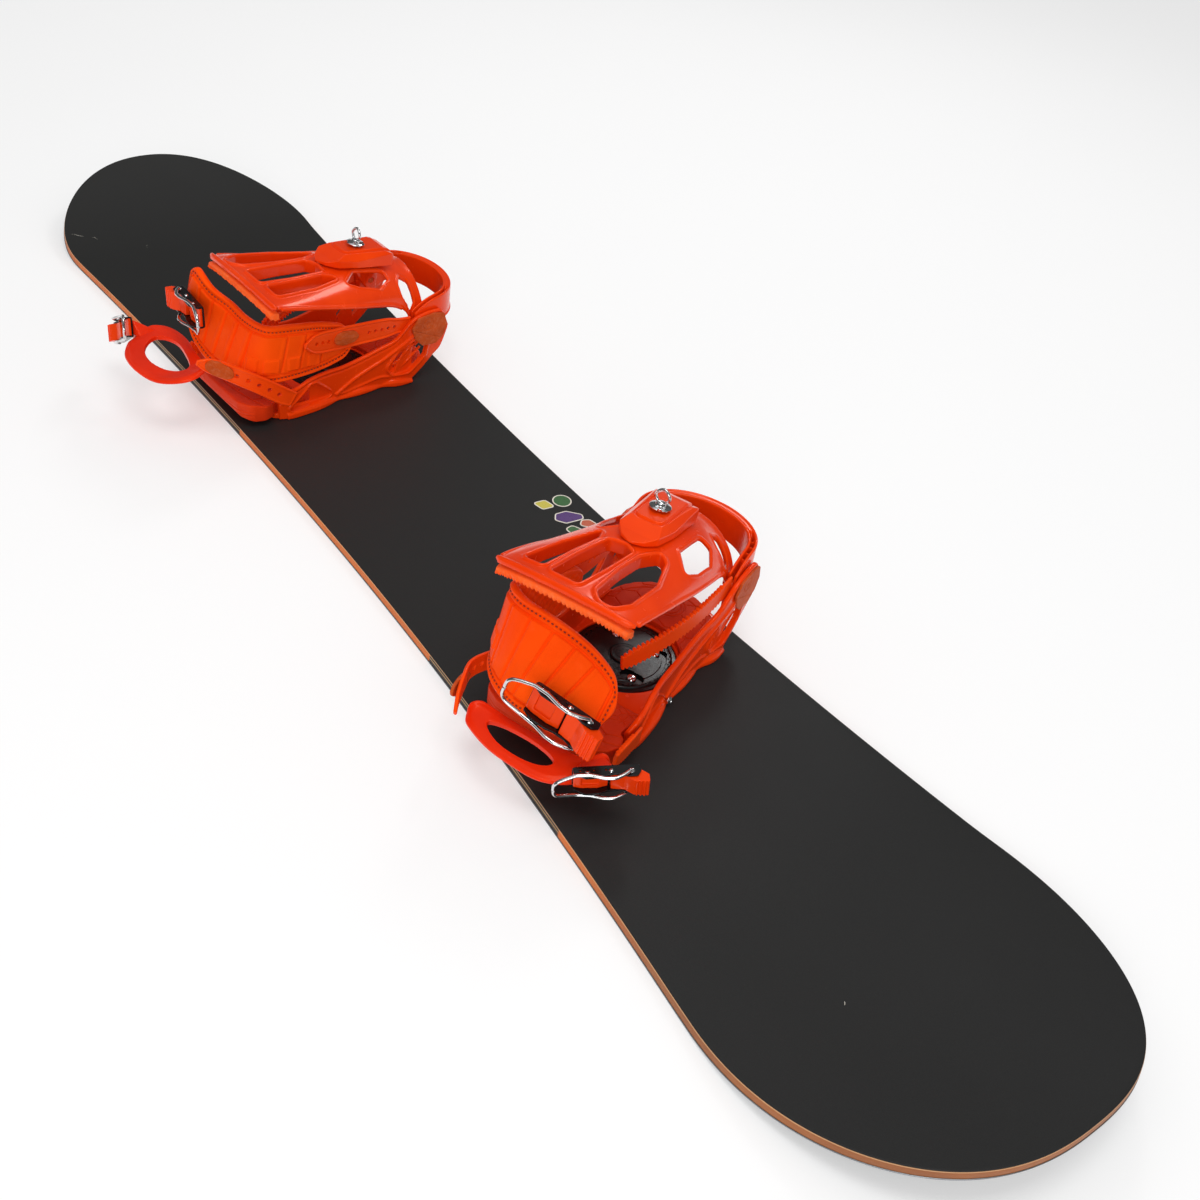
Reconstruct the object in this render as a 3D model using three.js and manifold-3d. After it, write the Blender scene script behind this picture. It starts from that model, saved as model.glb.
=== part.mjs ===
// A snowboard with two strap bindings, in millimetres, standing on its base at z = 0.
// +X points to the nose, +Y to the heel side, +Z up. The board's middle is at x = 0, y = 0.
// A binding is drawn in its own frame: x towards the toes, y outwards to the board's end,
// z up from the topsheet. The front one is turned into place, the rear one is mirrored first.

import * as THREE from "three";
import Module from "manifold-3d";
import { mergeVertices } from "three/addons/utils/BufferGeometryUtils.js";

const wasm = await Module();
wasm.setup();

// ---- board ----
const HALF_LENGTH = 775;
const WAIST = 124.1;
const NOSE = { half: 156.5, tip: 207, power: 2.41, lift: 41 };
const TAIL = { half: 149.0, tip: 167, power: 2.1, lift: 42 };
const RISE_LEAD = 0.15;
const BASE_TOP = 1.4;
const CORE_TOP = 8;
const BOARD_TOP = 9;
const EDGE_WIDTH = 2;
const SIDEWALL_INSET = 0.6;
const SIDEWALL_WIDTH = 7;
const TOPSHEET_INSET = 1.6;
const MIDDLE_STATIONS = 8;
const TIP_STATIONS = 11;

// ---- where the bindings stand ----
const FRONT = { x: 257, y: 18, turn: 22 };
const REAR = { x: -271, y: 4, turn: 5 };
const GAP = 0.3;
const SIMPLE = 0.02;
const LAYER_GAP = 0.04;

// ---- baseplate ----
const FLOOR_TOP = 6;
const WALL = 4;
const DISC_RADIUS = 46;
const DISC_TOP = 7;
const DISC_SIDES = 36;
const SCREW_RING = 20;
const SCREW_RADIUS = 4.2;

// ---- heel hoop and highback ----
const PIVOT = { u: -84, z: 68 };
const HOOP_FRONT = -72;
const HOOP_BEND = -98;
const HOOP_INNER = 49.6;
const HOOP_DEPTH = 35.5;
const HOOP_WALL = 8.6;
const HOOP_LOW = 56;
const HOOP_TOP = 94;
const PIN_RADIUS = 3;
const PIN_HOLE = 3.06;
const SHELL = 3.6;
const COVER_FACE = 63.4;
const COVER_THICKNESS = 2.2;

// ---- small parts ----
const PAD_LIFT = 0.2;
const HEEL_PAD_HEIGHT = 4.8;
const DISC_CLEARANCE = 0.6;
const SCREW_POCKET = 3;
const PAD_RING = DISC_RADIUS + 3;
const TIP_TEETH = 26;
const STRAP_THICKNESS = 2.6;
const PAD_THICKNESS = 7;
const CAP_THICKNESS = 4;
const CONNECTOR_HOLE = 1.9;
const LEVER_WIRE = 1.5;
const BOLT_CLEARANCE = 0.1;
const FAR = 200;

const ORANGE = { color: "#e63c0e", roughness: 0.3, metalness: 0 };
const SOFT_ORANGE = { color: "#e84a18", roughness: 0.7, metalness: 0 };
const RED_ORANGE = { color: "#d93410", roughness: 0.4, metalness: 0 };
const PALE_ORANGE = { color: "#ff6a2e", roughness: 0.6, metalness: 0 };
const DUSTY_ORANGE = { color: "#c65a2c", roughness: 0.8, metalness: 0 };
const BLACK = { color: "#16171a", roughness: 0.35, metalness: 0 };
const CHROME = { color: "#c9ccd0", roughness: 0.15, metalness: 1 };
const EDGE_STEEL = { color: "#8e9194", roughness: 0.35, metalness: 1 };
const CHARCOAL = { color: "#2d2d2e", roughness: 0.75, metalness: 0 };
const BASE_BLACK = { color: "#1b1c1f", roughness: 0.5, metalness: 0 };
const SIDE_ORANGE = { color: "#cc6d2e", roughness: 0.6, metalness: 0 };
const POPLAR = { color: "#cfae7c", roughness: 0.8, metalness: 0 };

const root = new THREE.Group();
root.name = "snowboard";

// ---------------------------------------------------------------- solids

function solidFrom(positions, indices) {
  const geometry = new THREE.BufferGeometry();
  geometry.setAttribute("position", new THREE.Float32BufferAttribute(positions, 3));
  geometry.setIndex(indices);
  return toSolid(geometry);
}

function toSolid(geometry) {
  const bare = geometry.clone();
  bare.deleteAttribute("normal");
  bare.deleteAttribute("uv");
  const merged = mergeVertices(bare, 1e-4);
  const mesh = new wasm.Mesh({
    numProp: 3,
    vertProperties: new Float32Array(merged.attributes.position.array),
    triVerts: new Uint32Array(merged.index.array),
  });
  const solid = new wasm.Manifold(mesh);
  if (solid.volume() > 0) return solid;
  const flipped = new Uint32Array(merged.index.array);
  for (let i = 0; i < flipped.length; i += 3) {
    const kept = flipped[i + 1];
    flipped[i + 1] = flipped[i + 2];
    flipped[i + 2] = kept;
  }
  return new wasm.Manifold(new wasm.Mesh({
    numProp: 3,
    vertProperties: new Float32Array(merged.attributes.position.array),
    triVerts: flipped,
  }));
}

// A closed body through a row of sections that all have the same number of corners.
function loft(sections, closed = false) {
  const corners = sections[0].length;
  const positions = sections.flat(2);
  const indices = [];
  const spans = closed ? sections.length : sections.length - 1;
  for (let i = 0; i < spans; i += 1) {
    const next = (i + 1) % sections.length;
    for (let j = 0; j < corners; j += 1) {
      const a = i * corners + j;
      const b = i * corners + ((j + 1) % corners);
      const c = next * corners + ((j + 1) % corners);
      const d = next * corners + j;
      indices.push(a, b, c, a, c, d);
    }
  }
  if (!closed) {
    capEnd(indices, sections[0], 0, true);
    capEnd(indices, sections[sections.length - 1], (sections.length - 1) * corners, false);
  }
  return solidFrom(positions, indices);
}

function capEnd(indices, section, start, reversed) {
  const points = section.map((p) => new THREE.Vector3(...p));
  const centre = points[0].clone();
  const normal = new THREE.Vector3();
  for (let i = 0; i < points.length; i += 1) {
    const a = points[i].clone().sub(centre);
    const b = points[(i + 1) % points.length].clone().sub(centre);
    normal.add(a.cross(b));
  }
  normal.normalize();
  const side = points[1].clone().sub(centre).normalize();
  const up = normal.clone().cross(side);
  const flat = points.map((p) => {
    const offset = p.clone().sub(centre);
    return new THREE.Vector2(offset.dot(side), offset.dot(up));
  });
  for (const [a, b, c] of THREE.ShapeUtils.triangulateShape(flat, [])) {
    const order = reversed ? [a, c, b] : [a, b, c];
    indices.push(...order.map((k) => start + k));
  }
}

// A flat outline in x, y pushed up from one height to another.
function slab(outline, low, high) {
  const shape = new THREE.Shape(outline.map(([x, y]) => new THREE.Vector2(x, y)));
  const geometry = new THREE.ExtrudeGeometry(shape, { depth: high - low, bevelEnabled: false });
  geometry.translate(0, 0, low);
  return toSolid(geometry);
}

// An outline in x, z pushed across from one y to another.
function across(outline, left, right) {
  const shape = new THREE.Shape(outline.map(([x, z]) => new THREE.Vector2(x, z)));
  const depth = right - left;
  const geometry = new THREE.ExtrudeGeometry(shape, { depth, bevelEnabled: false });
  geometry.rotateX(Math.PI / 2);
  geometry.translate(0, right, 0);
  return toSolid(geometry);
}

function block(low, high) {
  const corners = [[low[0], low[1]], [high[0], low[1]], [high[0], high[1]], [low[0], high[1]]];
  return slab(corners, low[2], high[2]);
}

function rodUp(radius, x, y, low, high, sides = 24) {
  return slab(ringPoints(radius, sides).map(([a, b]) => [x + a, y + b]), low, high);
}

function rodAcross(radius, x, z, left, right, sides = 24) {
  return across(ringPoints(radius, sides).map(([a, b]) => [x + a, z + b]), left, right);
}

function ringPoints(radius, sides) {
  const points = [];
  for (let i = 0; i < sides; i += 1) {
    const angle = (2 * Math.PI * i) / sides;
    points.push([radius * Math.cos(angle), radius * Math.sin(angle)]);
  }
  return points;
}

function rounded(halfLength, halfWidth, radius, steps = 3) {
  const points = [];
  const corners = [[1, 1, 0], [-1, 1, 90], [-1, -1, 180], [1, -1, 270]];
  for (const [sx, sy, start] of corners) {
    for (let i = 0; i <= steps; i += 1) {
      const angle = ((start + (90 * i) / steps) * Math.PI) / 180;
      const x = sx * (halfLength - radius) + radius * Math.cos(angle);
      points.push([x, sy * (halfWidth - radius) + radius * Math.sin(angle)]);
    }
  }
  return points;
}

function mix(a, b, t) {
  return a.map((value, i) => value + (b[i] - value) * t);
}

// Reads a table of rows [key, value, value...] at any key, in straight steps.
function readTable(table, key) {
  if (key <= table[0][0]) return table[0].slice(1);
  for (let i = 1; i < table.length; i += 1) {
    if (key > table[i][0]) continue;
    const share = (key - table[i - 1][0]) / (table[i][0] - table[i - 1][0]);
    return mix(table[i - 1], table[i], share).slice(1);
  }
  return table[table.length - 1].slice(1);
}

// Fine stations along a table of keys, from its first to its last key.
function stations(table, count) {
  const rows = [];
  const first = table[0][0];
  const last = table[table.length - 1][0];
  for (let i = 0; i <= count; i += 1) {
    const key = first + ((last - first) * i) / count;
    rows.push([key, ...smoothTable(table, key)]);
  }
  return rows;
}

// Reads the same table along a smooth curve through its rows.
function smoothTable(table, key) {
  let i = 0;
  while (i < table.length - 2 && key > table[i + 1][0]) i += 1;
  const before = table[Math.max(i - 1, 0)];
  const from = table[i];
  const to = table[i + 1];
  const after = table[Math.min(i + 2, table.length - 1)];
  const span = to[0] - from[0];
  const t = (key - from[0]) / span;
  return from.slice(1).map((value, k) => {
    const column = k + 1;
    const slopeIn = ((to[column] - before[column]) / (to[0] - before[0])) * span;
    const slopeOut = ((after[column] - from[column]) / (after[0] - from[0])) * span;
    const t2 = t * t;
    const t3 = t2 * t;
    const start = (2 * t3 - 3 * t2 + 1) * value + (t3 - 2 * t2 + t) * slopeIn;
    return start + (3 * t2 - 2 * t3) * to[column] + (t3 - t2) * slopeOut;
  });
}

// A strap: a flat band along a path. Each row is [x, y, z, halfWidth]. The band's width
// runs along `wide` and its thickness along the direction square to that and to the path.
function strap(rows, wide, thickness) {
  const sections = rows.map(([x, y, z, half], i) => {
    const here = new THREE.Vector3(x, y, z);
    const before = rows[Math.max(i - 1, 0)];
    const after = rows[Math.min(i + 1, rows.length - 1)];
    const along = new THREE.Vector3(after[0] - before[0], after[1] - before[1], after[2] - before[2]);
    along.normalize();
    const across3 = new THREE.Vector3(...wide);
    across3.addScaledVector(along, -across3.dot(along)).normalize();
    const out = along.clone().cross(across3).multiplyScalar(thickness / 2);
    across3.multiplyScalar(half);
    const signs = [[1, 1], [-1, 1], [-1, -1], [1, -1]];
    return signs.map(([a, b]) => {
      const corner = here.clone().addScaledVector(across3, a).addScaledVector(out, b);
      return corner.toArray();
    });
  });
  return loft(sections);
}

// A curved sheet of one thickness. The grid holds rows of points on its outer face.
function sheet(grid, thickness) {
  const rows = grid.length;
  const columns = grid[0].length;
  const outer = grid.map((row) => row.map((p) => new THREE.Vector3(...p)));
  const inner = outer.map((row, i) => row.map((p, j) => {
    const alongRow = outer[i][Math.min(j + 1, columns - 1)].clone();
    alongRow.sub(outer[i][Math.max(j - 1, 0)]);
    const alongColumn = outer[Math.min(i + 1, rows - 1)][j].clone();
    alongColumn.sub(outer[Math.max(i - 1, 0)][j]);
    const normal = alongColumn.cross(alongRow).normalize();
    return p.clone().addScaledVector(normal, -thickness);
  }));
  const sections = outer.map((row, i) => {
    const back = inner[i].slice().reverse();
    return [...row, ...back].map((p) => p.toArray());
  });
  const positions = sections.flat(2);
  const corners = 2 * columns;
  const indices = [];
  for (let i = 0; i < rows - 1; i += 1) {
    for (let j = 0; j < corners; j += 1) {
      const a = i * corners + j;
      const b = i * corners + ((j + 1) % corners);
      indices.push(a, b, b + corners, a, b + corners, a + corners);
    }
  }
  for (const [row, flip] of [[0, true], [rows - 1, false]]) {
    for (let j = 0; j < columns - 1; j += 1) {
      const a = row * corners + j;
      const b = a + 1;
      const d = row * corners + corners - 1 - j;
      const c = d - 1;
      if (flip) indices.push(a, c, b, a, d, c);
      else indices.push(a, b, c, a, c, d);
    }
  }
  return solidFrom(positions, indices);
}

// A round bar along any path, closed into a loop if asked.
function bar(path, radius, closed = false, sides = 8) {
  const points = path.map((p) => new THREE.Vector3(...p));
  const count = points.length;
  const side = new THREE.Vector3(0.31, 0.2, 0.93);
  const sections = points.map((p, i) => {
    const before = closed ? points[(i + count - 1) % count] : points[Math.max(i - 1, 0)];
    const after = closed ? points[(i + 1) % count] : points[Math.min(i + 1, count - 1)];
    const into = p.clone().sub(before).normalize();
    const out = after.clone().sub(p).normalize();
    const along = into.clone().add(out).normalize();
    if (closed && i === 0) side.set(1, 0, 0);
    side.addScaledVector(along, -side.dot(along)).normalize();
    const up = along.clone().cross(side);
    return ringPoints(radius, sides).map(([a, b]) => {
      const corner = p.clone().addScaledVector(side, a);
      return corner.addScaledVector(up, b).toArray();
    });
  });
  return loft(sections, closed);
}

function join(...solids) {
  return solids.reduce((whole, piece) => whole.add(piece));
}

function cut(solid, ...tools) {
  return tools.reduce((whole, tool) => whole.subtract(tool), solid);
}

function addNode(name, solid, look, placement) {
  const mesh = solid.simplify(SIMPLE).getMesh();
  const positions = [];
  for (let i = 0; i < mesh.numVert; i += 1) {
    const at = i * mesh.numProp;
    positions.push(...mesh.vertProperties.slice(at, at + 3));
  }
  const geometry = new THREE.BufferGeometry();
  geometry.setAttribute("position", new THREE.Float32BufferAttribute(positions, 3));
  geometry.setIndex([...mesh.triVerts]);
  geometry.computeVertexNormals();
  const node = new THREE.Mesh(geometry, new THREE.MeshStandardMaterial(look));
  node.name = name;
  if (placement) node.applyMatrix4(placement);
  root.add(node);
}

// ---------------------------------------------------------------- board

const RISE_STEPS = 8;

function exactLift(x) {
  const end = x > 0 ? NOSE : TAIL;
  const lead = RISE_LEAD * end.tip;
  const into = Math.abs(x) - (HALF_LENGTH - end.tip) + lead;
  const share = Math.min(Math.max(into / (end.tip + lead), 0), 1);
  return end.lift * share * share;
}

// The rise is drawn in straight steps that every layer shares, so the layers lie flush.
function riseBreaks() {
  const breaks = [];
  for (const [end, sign] of [[TAIL, -1], [NOSE, 1]]) {
    const reach = end.tip * (1 + RISE_LEAD);
    for (let i = 0; i <= RISE_STEPS; i += 1) {
      const distance = HALF_LENGTH - reach + (reach * i) / RISE_STEPS;
      breaks.push(sign * distance);
    }
  }
  return breaks.sort((a, b) => a - b);
}

const BREAKS = riseBreaks();
const LIFT_TABLE = BREAKS.map((x) => [x, exactLift(x)]);

function lift(x) {
  return readTable(LIFT_TABLE, x)[0];
}

function halfWidth(x) {
  const end = x > 0 ? NOSE : TAIL;
  const contact = HALF_LENGTH - end.tip;
  const distance = Math.abs(x);
  if (distance <= contact) return WAIST + (end.half - WAIST) * (distance / contact) ** 2;
  const u = Math.min((distance - contact) / end.tip, 1);
  const slope = ((2 * (end.half - WAIST)) / contact) * end.tip;
  return (end.half + slope * u * (1 - u) ** 2) * (1 - u ** end.power) ** (1 / end.power);
}

// The board's outline on one side, from the tail's end to the nose's end.
function sideLine() {
  const line = [];
  const tailContact = HALF_LENGTH - TAIL.tip;
  const noseContact = HALF_LENGTH - NOSE.tip;
  for (let i = 0; i < TIP_STATIONS; i += 1) {
    const turn = ((Math.PI / 2) * i) / TIP_STATIONS;
    line.push(-HALF_LENGTH + TAIL.tip * (1 - Math.cos(turn)));
  }
  for (let i = 0; i < MIDDLE_STATIONS; i += 1) {
    line.push(-tailContact + ((tailContact + noseContact) * i) / MIDDLE_STATIONS);
  }
  for (let i = 0; i <= TIP_STATIONS; i += 1) {
    const turn = ((Math.PI / 2) * i) / TIP_STATIONS;
    line.push(noseContact + NOSE.tip * Math.sin(turn));
  }
  return line.map((x) => [x, halfWidth(x)]);
}

const SIDE_LINE = sideLine();

// The same line moved in by a distance, square to itself.
function insetLine(distance) {
  return SIDE_LINE.map(([x, y], i) => {
    const before = i > 0 ? SIDE_LINE[i - 1] : [SIDE_LINE[1][0], -SIDE_LINE[1][1]];
    const last = SIDE_LINE.length - 1;
    const after = i < last ? SIDE_LINE[i + 1] : [SIDE_LINE[last - 1][0], -SIDE_LINE[last - 1][1]];
    const dx = after[0] - before[0];
    const dy = after[1] - before[1];
    const size = Math.hypot(dx, dy);
    const ends = i === 0 || i === last;
    return [x + (dy / size) * distance, ends ? 0 : y - (dx / size) * distance];
  });
}

// Adds every rise break to a side line, so its straight steps match the shared rise.
function withBreaks(line) {
  const keys = line.map(([x]) => x);
  const low = keys[0];
  const high = keys[keys.length - 1];
  const near = (x) => keys.some((key) => Math.abs(key - x) < 1e-6);
  const extra = BREAKS.filter((x) => x > low + 1e-6 && x < high - 1e-6 && !near(x));
  const rows = [...line, ...extra.map((x) => [x, readTable(line, x)[0]])];
  return rows.sort((a, b) => a[0] - b[0]);
}

// A full layer of the board between two heights above the rise.
function boardLayer(inset, low, high) {
  const line = withBreaks(insetLine(inset));
  const sections = line.slice(1, -1).map(([x, y]) => {
    const z = lift(x);
    return [[x, -y, z + low], [x, y, z + low], [x, y, z + high], [x, -y, z + high]];
  });
  const positions = sections.flat(2);
  const indices = [];
  const count = sections.length;
  for (let i = 0; i < count - 1; i += 1) {
    for (let j = 0; j < 4; j += 1) {
      const a = i * 4 + j;
      const b = i * 4 + ((j + 1) % 4);
      indices.push(a, b, b + 4, a, b + 4, a + 4);
    }
  }
  for (const [tip, row, flip] of [[line[0], 0, true], [line[line.length - 1], count - 1, false]]) {
    const at = positions.length / 3;
    const z = lift(tip[0]);
    positions.push(tip[0], 0, z + low, tip[0], 0, z + high);
    const base = row * 4;
    const faces = [
      [base, base + 1, at],
      [base + 1, base + 2, at + 1],
      [base + 1, at + 1, at],
      [base + 2, base + 3, at + 1],
      [base + 3, base, at],
      [base + 3, at, at + 1],
    ];
    for (const [a, b, c] of faces) indices.push(...(flip ? [a, c, b] : [a, b, c]));
  }
  return solidFrom(positions, indices);
}

// A frame round the board between two insets and two heights above the rise.
function boardRing(outerInset, innerInset, low, high) {
  return boardLayer(outerInset, low, high).subtract(boardLayer(innerInset, low - 1, high + 1));
}

function makeBoard() {
  addNode("board_base", boardLayer(EDGE_WIDTH + LAYER_GAP, 0, BASE_TOP), BASE_BLACK);
  addNode("steel_edge", boardRing(0, EDGE_WIDTH, 0, BASE_TOP), EDGE_STEEL);
  const wallInner = SIDEWALL_INSET + SIDEWALL_WIDTH;
  const low = BASE_TOP + LAYER_GAP;
  addNode("sidewall", boardRing(SIDEWALL_INSET, wallInner, low, CORE_TOP), SIDE_ORANGE);
  addNode("wood_core", boardLayer(wallInner + LAYER_GAP, low, CORE_TOP), POPLAR);
  const skin = boardLayer(TOPSHEET_INSET, CORE_TOP + LAYER_GAP, BOARD_TOP);
  addNode("topsheet", skin, CHARCOAL);
}

// ---------------------------------------------------------------- binding pieces

// Rows: distance to the toe, outer half width of the side wall there, its lower and upper edge.
const WALL_LINE = [
  [-112, 62.8, 56, 60],
  [-104, 63, 36, 78],
  [-94, 63, 27, 81],
  [-80, 63, 14, 80],
  [-64, 62.6, 3, 74],
  [-48, 60, GAP, 56.5],
  [-30, 57, GAP, 49],
  [-8, 55.6, GAP, 43],
  [15, 55.6, GAP, 39],
  [35, 56.6, GAP, 39],
  [55, 59, GAP, 38],
  [72, 61.6, GAP, 34],
  [84, 62, GAP, 31],
  [93, 59, GAP, 22],
];

function sideWall(side) {
  const rows = stations(WALL_LINE, 13);
  const sections = rows.map(([u, out, low, high]) => {
    const floor = Math.max(low, GAP);
    const inside = out - WALL;
    return [
      [u, side * inside, floor],
      [u, side * out, floor],
      [u, side * out, high - 1.2],
      [u, side * (out - 1), high],
      [u, side * (inside + 0.8), high],
      [u, side * inside, high - 1],
    ];
  });
  return loft(sections);
}

// A lip that turns outwards along the foot of the side wall.
function sideFoot(side) {
  const table = [
    [-68, 65, 5],
    [-46, 64, 8],
    [-30, 58, 6],
    [-5, 60, 7],
    [22, 57.6, 5.5],
    [50, 64, 8],
    [75, 65, 9],
    [86, 64, 8],
  ];
  const sections = stations(table, 8).map(([u, out, high]) => [
    [u, side * 54, GAP],
    [u, side * out, GAP],
    [u, side * out, high - 2],
    [u, side * (out - 2), high],
    [u, side * 54, high],
  ]);
  return loft(sections);
}

function baseOutline() {
  return [
    [-72, -55], [-20, -53], [15, -53], [60, -57], [88, -60], [97, -54], [105, -41],
    [105, 41], [97, 54], [88, 60], [60, 57], [15, 53], [-20, 53], [-72, 55],
    [-84, 50], [-98, 38], [-107, 20], [-110, 0], [-107, -20], [-98, -38], [-84, -50],
  ];
}

function makeBaseplate() {
  let base = slab(baseOutline(), GAP, FLOOR_TOP);
  for (const side of [-1, 1]) {
    base = join(base, sideWall(side), sideFoot(side));
    const window = across(
      [[-82, 30], [-62, 14], [-44, 14], [-38, 22], [-52, 42], [-74, 54], [-86, 46]],
      side > 0 ? 50 : -70,
      side > 0 ? 70 : -50,
    );
    base = cut(base, window);
    const ribs = [-70, -58, -48].map((u) => across(
      [[u - 1.4, 12], [u + 1.4, 12], [u + 1.4, 52], [u - 1.4, 52]],
      side > 0 ? 57 : -60.5,
      side > 0 ? 60.5 : -57,
    ));
    base = join(base, ...ribs.map((rib) => rib.intersect(sideWall(side))));
    const pocket = across(
      [[24, 9], [80, 8], [84, 12], [56, 31], [50, 31]],
      side > 0 ? 56.2 : -70,
      side > 0 ? 70 : -56.2,
    );
    base = cut(base, pocket);
    const bore = PIN_RADIUS + BOLT_CLEARANCE;
    const pin = rodAcross(bore, PIVOT.u, PIVOT.z, side > 0 ? 50 : -70, side > 0 ? 70 : -50);
    base = cut(base, pin);
  }
  base = cut(base, rodUp(DISC_RADIUS + DISC_CLEARANCE, 0, 0, -1, FLOOR_TOP + 1, DISC_SIDES));
  return base;
}

function makeDisc() {
  let disc = rodUp(DISC_RADIUS, 0, 0, GAP, DISC_TOP - 1.4, DISC_SIDES);
  disc = join(disc, rodUp(DISC_RADIUS - 5, 0, 0, GAP, DISC_TOP, DISC_SIDES));
  const medal = rodUp(12, 0, 0, GAP, DISC_TOP + 1.2, 16);
  disc = join(disc, medal);
  for (const [x, y] of screwPlaces()) {
    disc = cut(disc, slab(
      rounded(11, 6, 5.9, 2).map(([a, b]) => [x + b, y + a]),
      DISC_TOP - SCREW_POCKET,
      DISC_TOP + 2,
    ));
  }
  return disc;
}

function screwPlaces() {
  return [[SCREW_RING, SCREW_RING], [SCREW_RING, -SCREW_RING],
    [-SCREW_RING, SCREW_RING], [-SCREW_RING, -SCREW_RING]];
}

function makeScrew(x, y) {
  const head = rodUp(SCREW_RADIUS, x, y, DISC_TOP - SCREW_POCKET + 0.05, DISC_TOP - 0.6, 12);
  const slotA = block([x - 2.6, y - 0.6, DISC_TOP - 2], [x + 2.6, y + 0.6, DISC_TOP]);
  const slotB = block([x - 0.6, y - 2.6, DISC_TOP - 2], [x + 0.6, y + 2.6, DISC_TOP]);
  return cut(head, slotA, slotB);
}

// The heel rest: a cushion across the floor behind the disc.
function makeHeelPad() {
  const rim = [];
  for (let i = 0; i <= 12; i += 1) {
    const angle = ((234 - 9 * i) * Math.PI) / 180;
    rim.push([PAD_RING * Math.cos(angle), PAD_RING * Math.sin(angle)]);
  }
  const back = [
    [-44, 50.5], [-62, 51], [-74, 48.5], [-86, 42], [-97, 30], [-104, 14], [-104, -14],
    [-97, -30], [-86, -42], [-74, -48.5], [-62, -51], [-44, -50.5],
  ];
  const low = FLOOR_TOP + PAD_LIFT;
  return slab([...rim, ...back], low, low + HEEL_PAD_HEIGHT);
}

// The toe ramp slides out along the floor in front of the disc.
function makeToeRamp() {
  const side = [[56, 6.3], [120, 6.3], [130, 9], [135, 17], [132, 26], [120, 25], [60, 11.5]];
  let ramp = across(side, -64, 64);
  const plan = [
    [54, -48], [62, -52], [94, -52], [99, -58], [110, -62], [124, -58], [132, -44], [135, -16],
    [135, 16], [132, 44], [124, 58], [110, 62], [99, 58], [94, 52], [62, 52], [54, 48],
  ];
  ramp = ramp.intersect(slab(plan, 0, 40));
  return cut(ramp, rodUp(PAD_RING, 0, 0, 0, 40, DISC_SIDES));
}

// Heel hoop: two thin walls with a floor between them, bent round the heel.
function hoopPath(offset) {
  const path = [];
  const half = HOOP_INNER + offset;
  const depth = HOOP_DEPTH + offset;
  for (const u of [HOOP_FRONT, -80, -90]) path.push([u, half]);
  for (let i = 0; i <= 14; i += 1) {
    const angle = (Math.PI * i) / 14;
    path.push([HOOP_BEND - depth * Math.sin(angle), half * Math.cos(angle)]);
  }
  for (const u of [-90, -80, HOOP_FRONT]) path.push([u, -half]);
  return path;
}

function makeHoop() {
  const offsets = [0, 2.6, 2.6, HOOP_WALL - 2.6, HOOP_WALL - 2.6, HOOP_WALL, HOOP_WALL, 0];
  const paths = offsets.map((offset) => hoopPath(offset));
  const sections = paths[0].map((unused, i) => {
    const u = paths[0][i][0];
    const back = Math.min(Math.max((HOOP_FRONT - u) / 40, 0), 1);
    const top = HOOP_TOP - 14 * (1 - back) ** 2;
    const low = HOOP_LOW + 8 * back - 16 * (1 - back);
    const valley = top - 16 - 4 * back;
    const heights = [top, top, valley, valley, top, top, low, low];
    return offsets.map((offset, k) => [paths[k][i][0], paths[k][i][1], heights[k]]);
  });
  const hoop = loft(sections);
  return cut(hoop, rodAcross(PIN_RADIUS + BOLT_CLEARANCE, PIVOT.u, PIVOT.z, -90, 90));
}

// The matte cover on the arm with the pin that the highback turns on.
function makeHingePin(side) {
  const cover = [
    [-109, 62], [-105, 50], [-95, 42], [-78, 43], [-68, 53], [-64, 66], [-72, 77],
    [-92, 79], [-105, 76],
  ];
  const near = COVER_FACE;
  const far = COVER_FACE + COVER_THICKNESS;
  const plate = across(cover, side > 0 ? near : -far, side > 0 ? far : -near);
  const shank = rodAcross(PIN_RADIUS, PIVOT.u, PIVOT.z, side > 0 ? 44 : -64, side > 0 ? 64 : -44);
  return join(plate, shank);
}

// ---- highback, drawn folded down over the foot space ----
// Rows: distance to the toe, height of the middle, half width, how far the edges hang down,
// and how far the middle leans inwards.
const BACK_LINE = [
  [-91, 112, 48.6, 56, 0],
  [-84, 114, 48.6, 58, 0],
  [-76, 117, 48.6, 54, 0],
  [-66, 120, 49.2, 41, 0],
  [-50, 124.5, 51, 34, 0.5],
  [-25, 129, 54, 30, 2],
  [0, 132, 56.5, 26, 4],
  [30, 135.5, 59, 20, 6.5],
  [60, 139, 61.5, 14, 9],
  [85, 142, 62.5, 10, 11],
  [103, 144, 62.5, 8, 12],
];
const BACK_COLUMNS = 10;
const TOE_OPENINGS = [
  [[20, -22], [60, -28.5], [94, -31], [94.5, -6], [57, -1.3], [24, 1], [18, -8]],
  [[9, -35], [24, -30], [57, -35.5], [92, -39.5], [91, -57], [46, -48]],
  [[5, 18], [24, 9.5], [53, 7.5], [90, 9], [100, 18], [99, 28], [84, 35], [44, 36], [12, 26]],
];
const SIDE_OPENINGS = [
  [[-50, 26], [-14, 26], [4, 42], [-10, 46], [-34, 46], [-50, 36]],
  [[-79, 29], [-70, 28], [-63, 38], [-63, 46], [-72, 47.5], [-80, 42]],
];

function backPoint(u, share) {
  const [middle, half, hang, lean] = smoothTable(BACK_LINE, u);
  const angle = (share * Math.PI) / 2;
  const y = half * Math.sin(angle) - lean;
  const z = middle - hang * (1 - Math.cos(angle));
  return [u, y, z];
}

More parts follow.
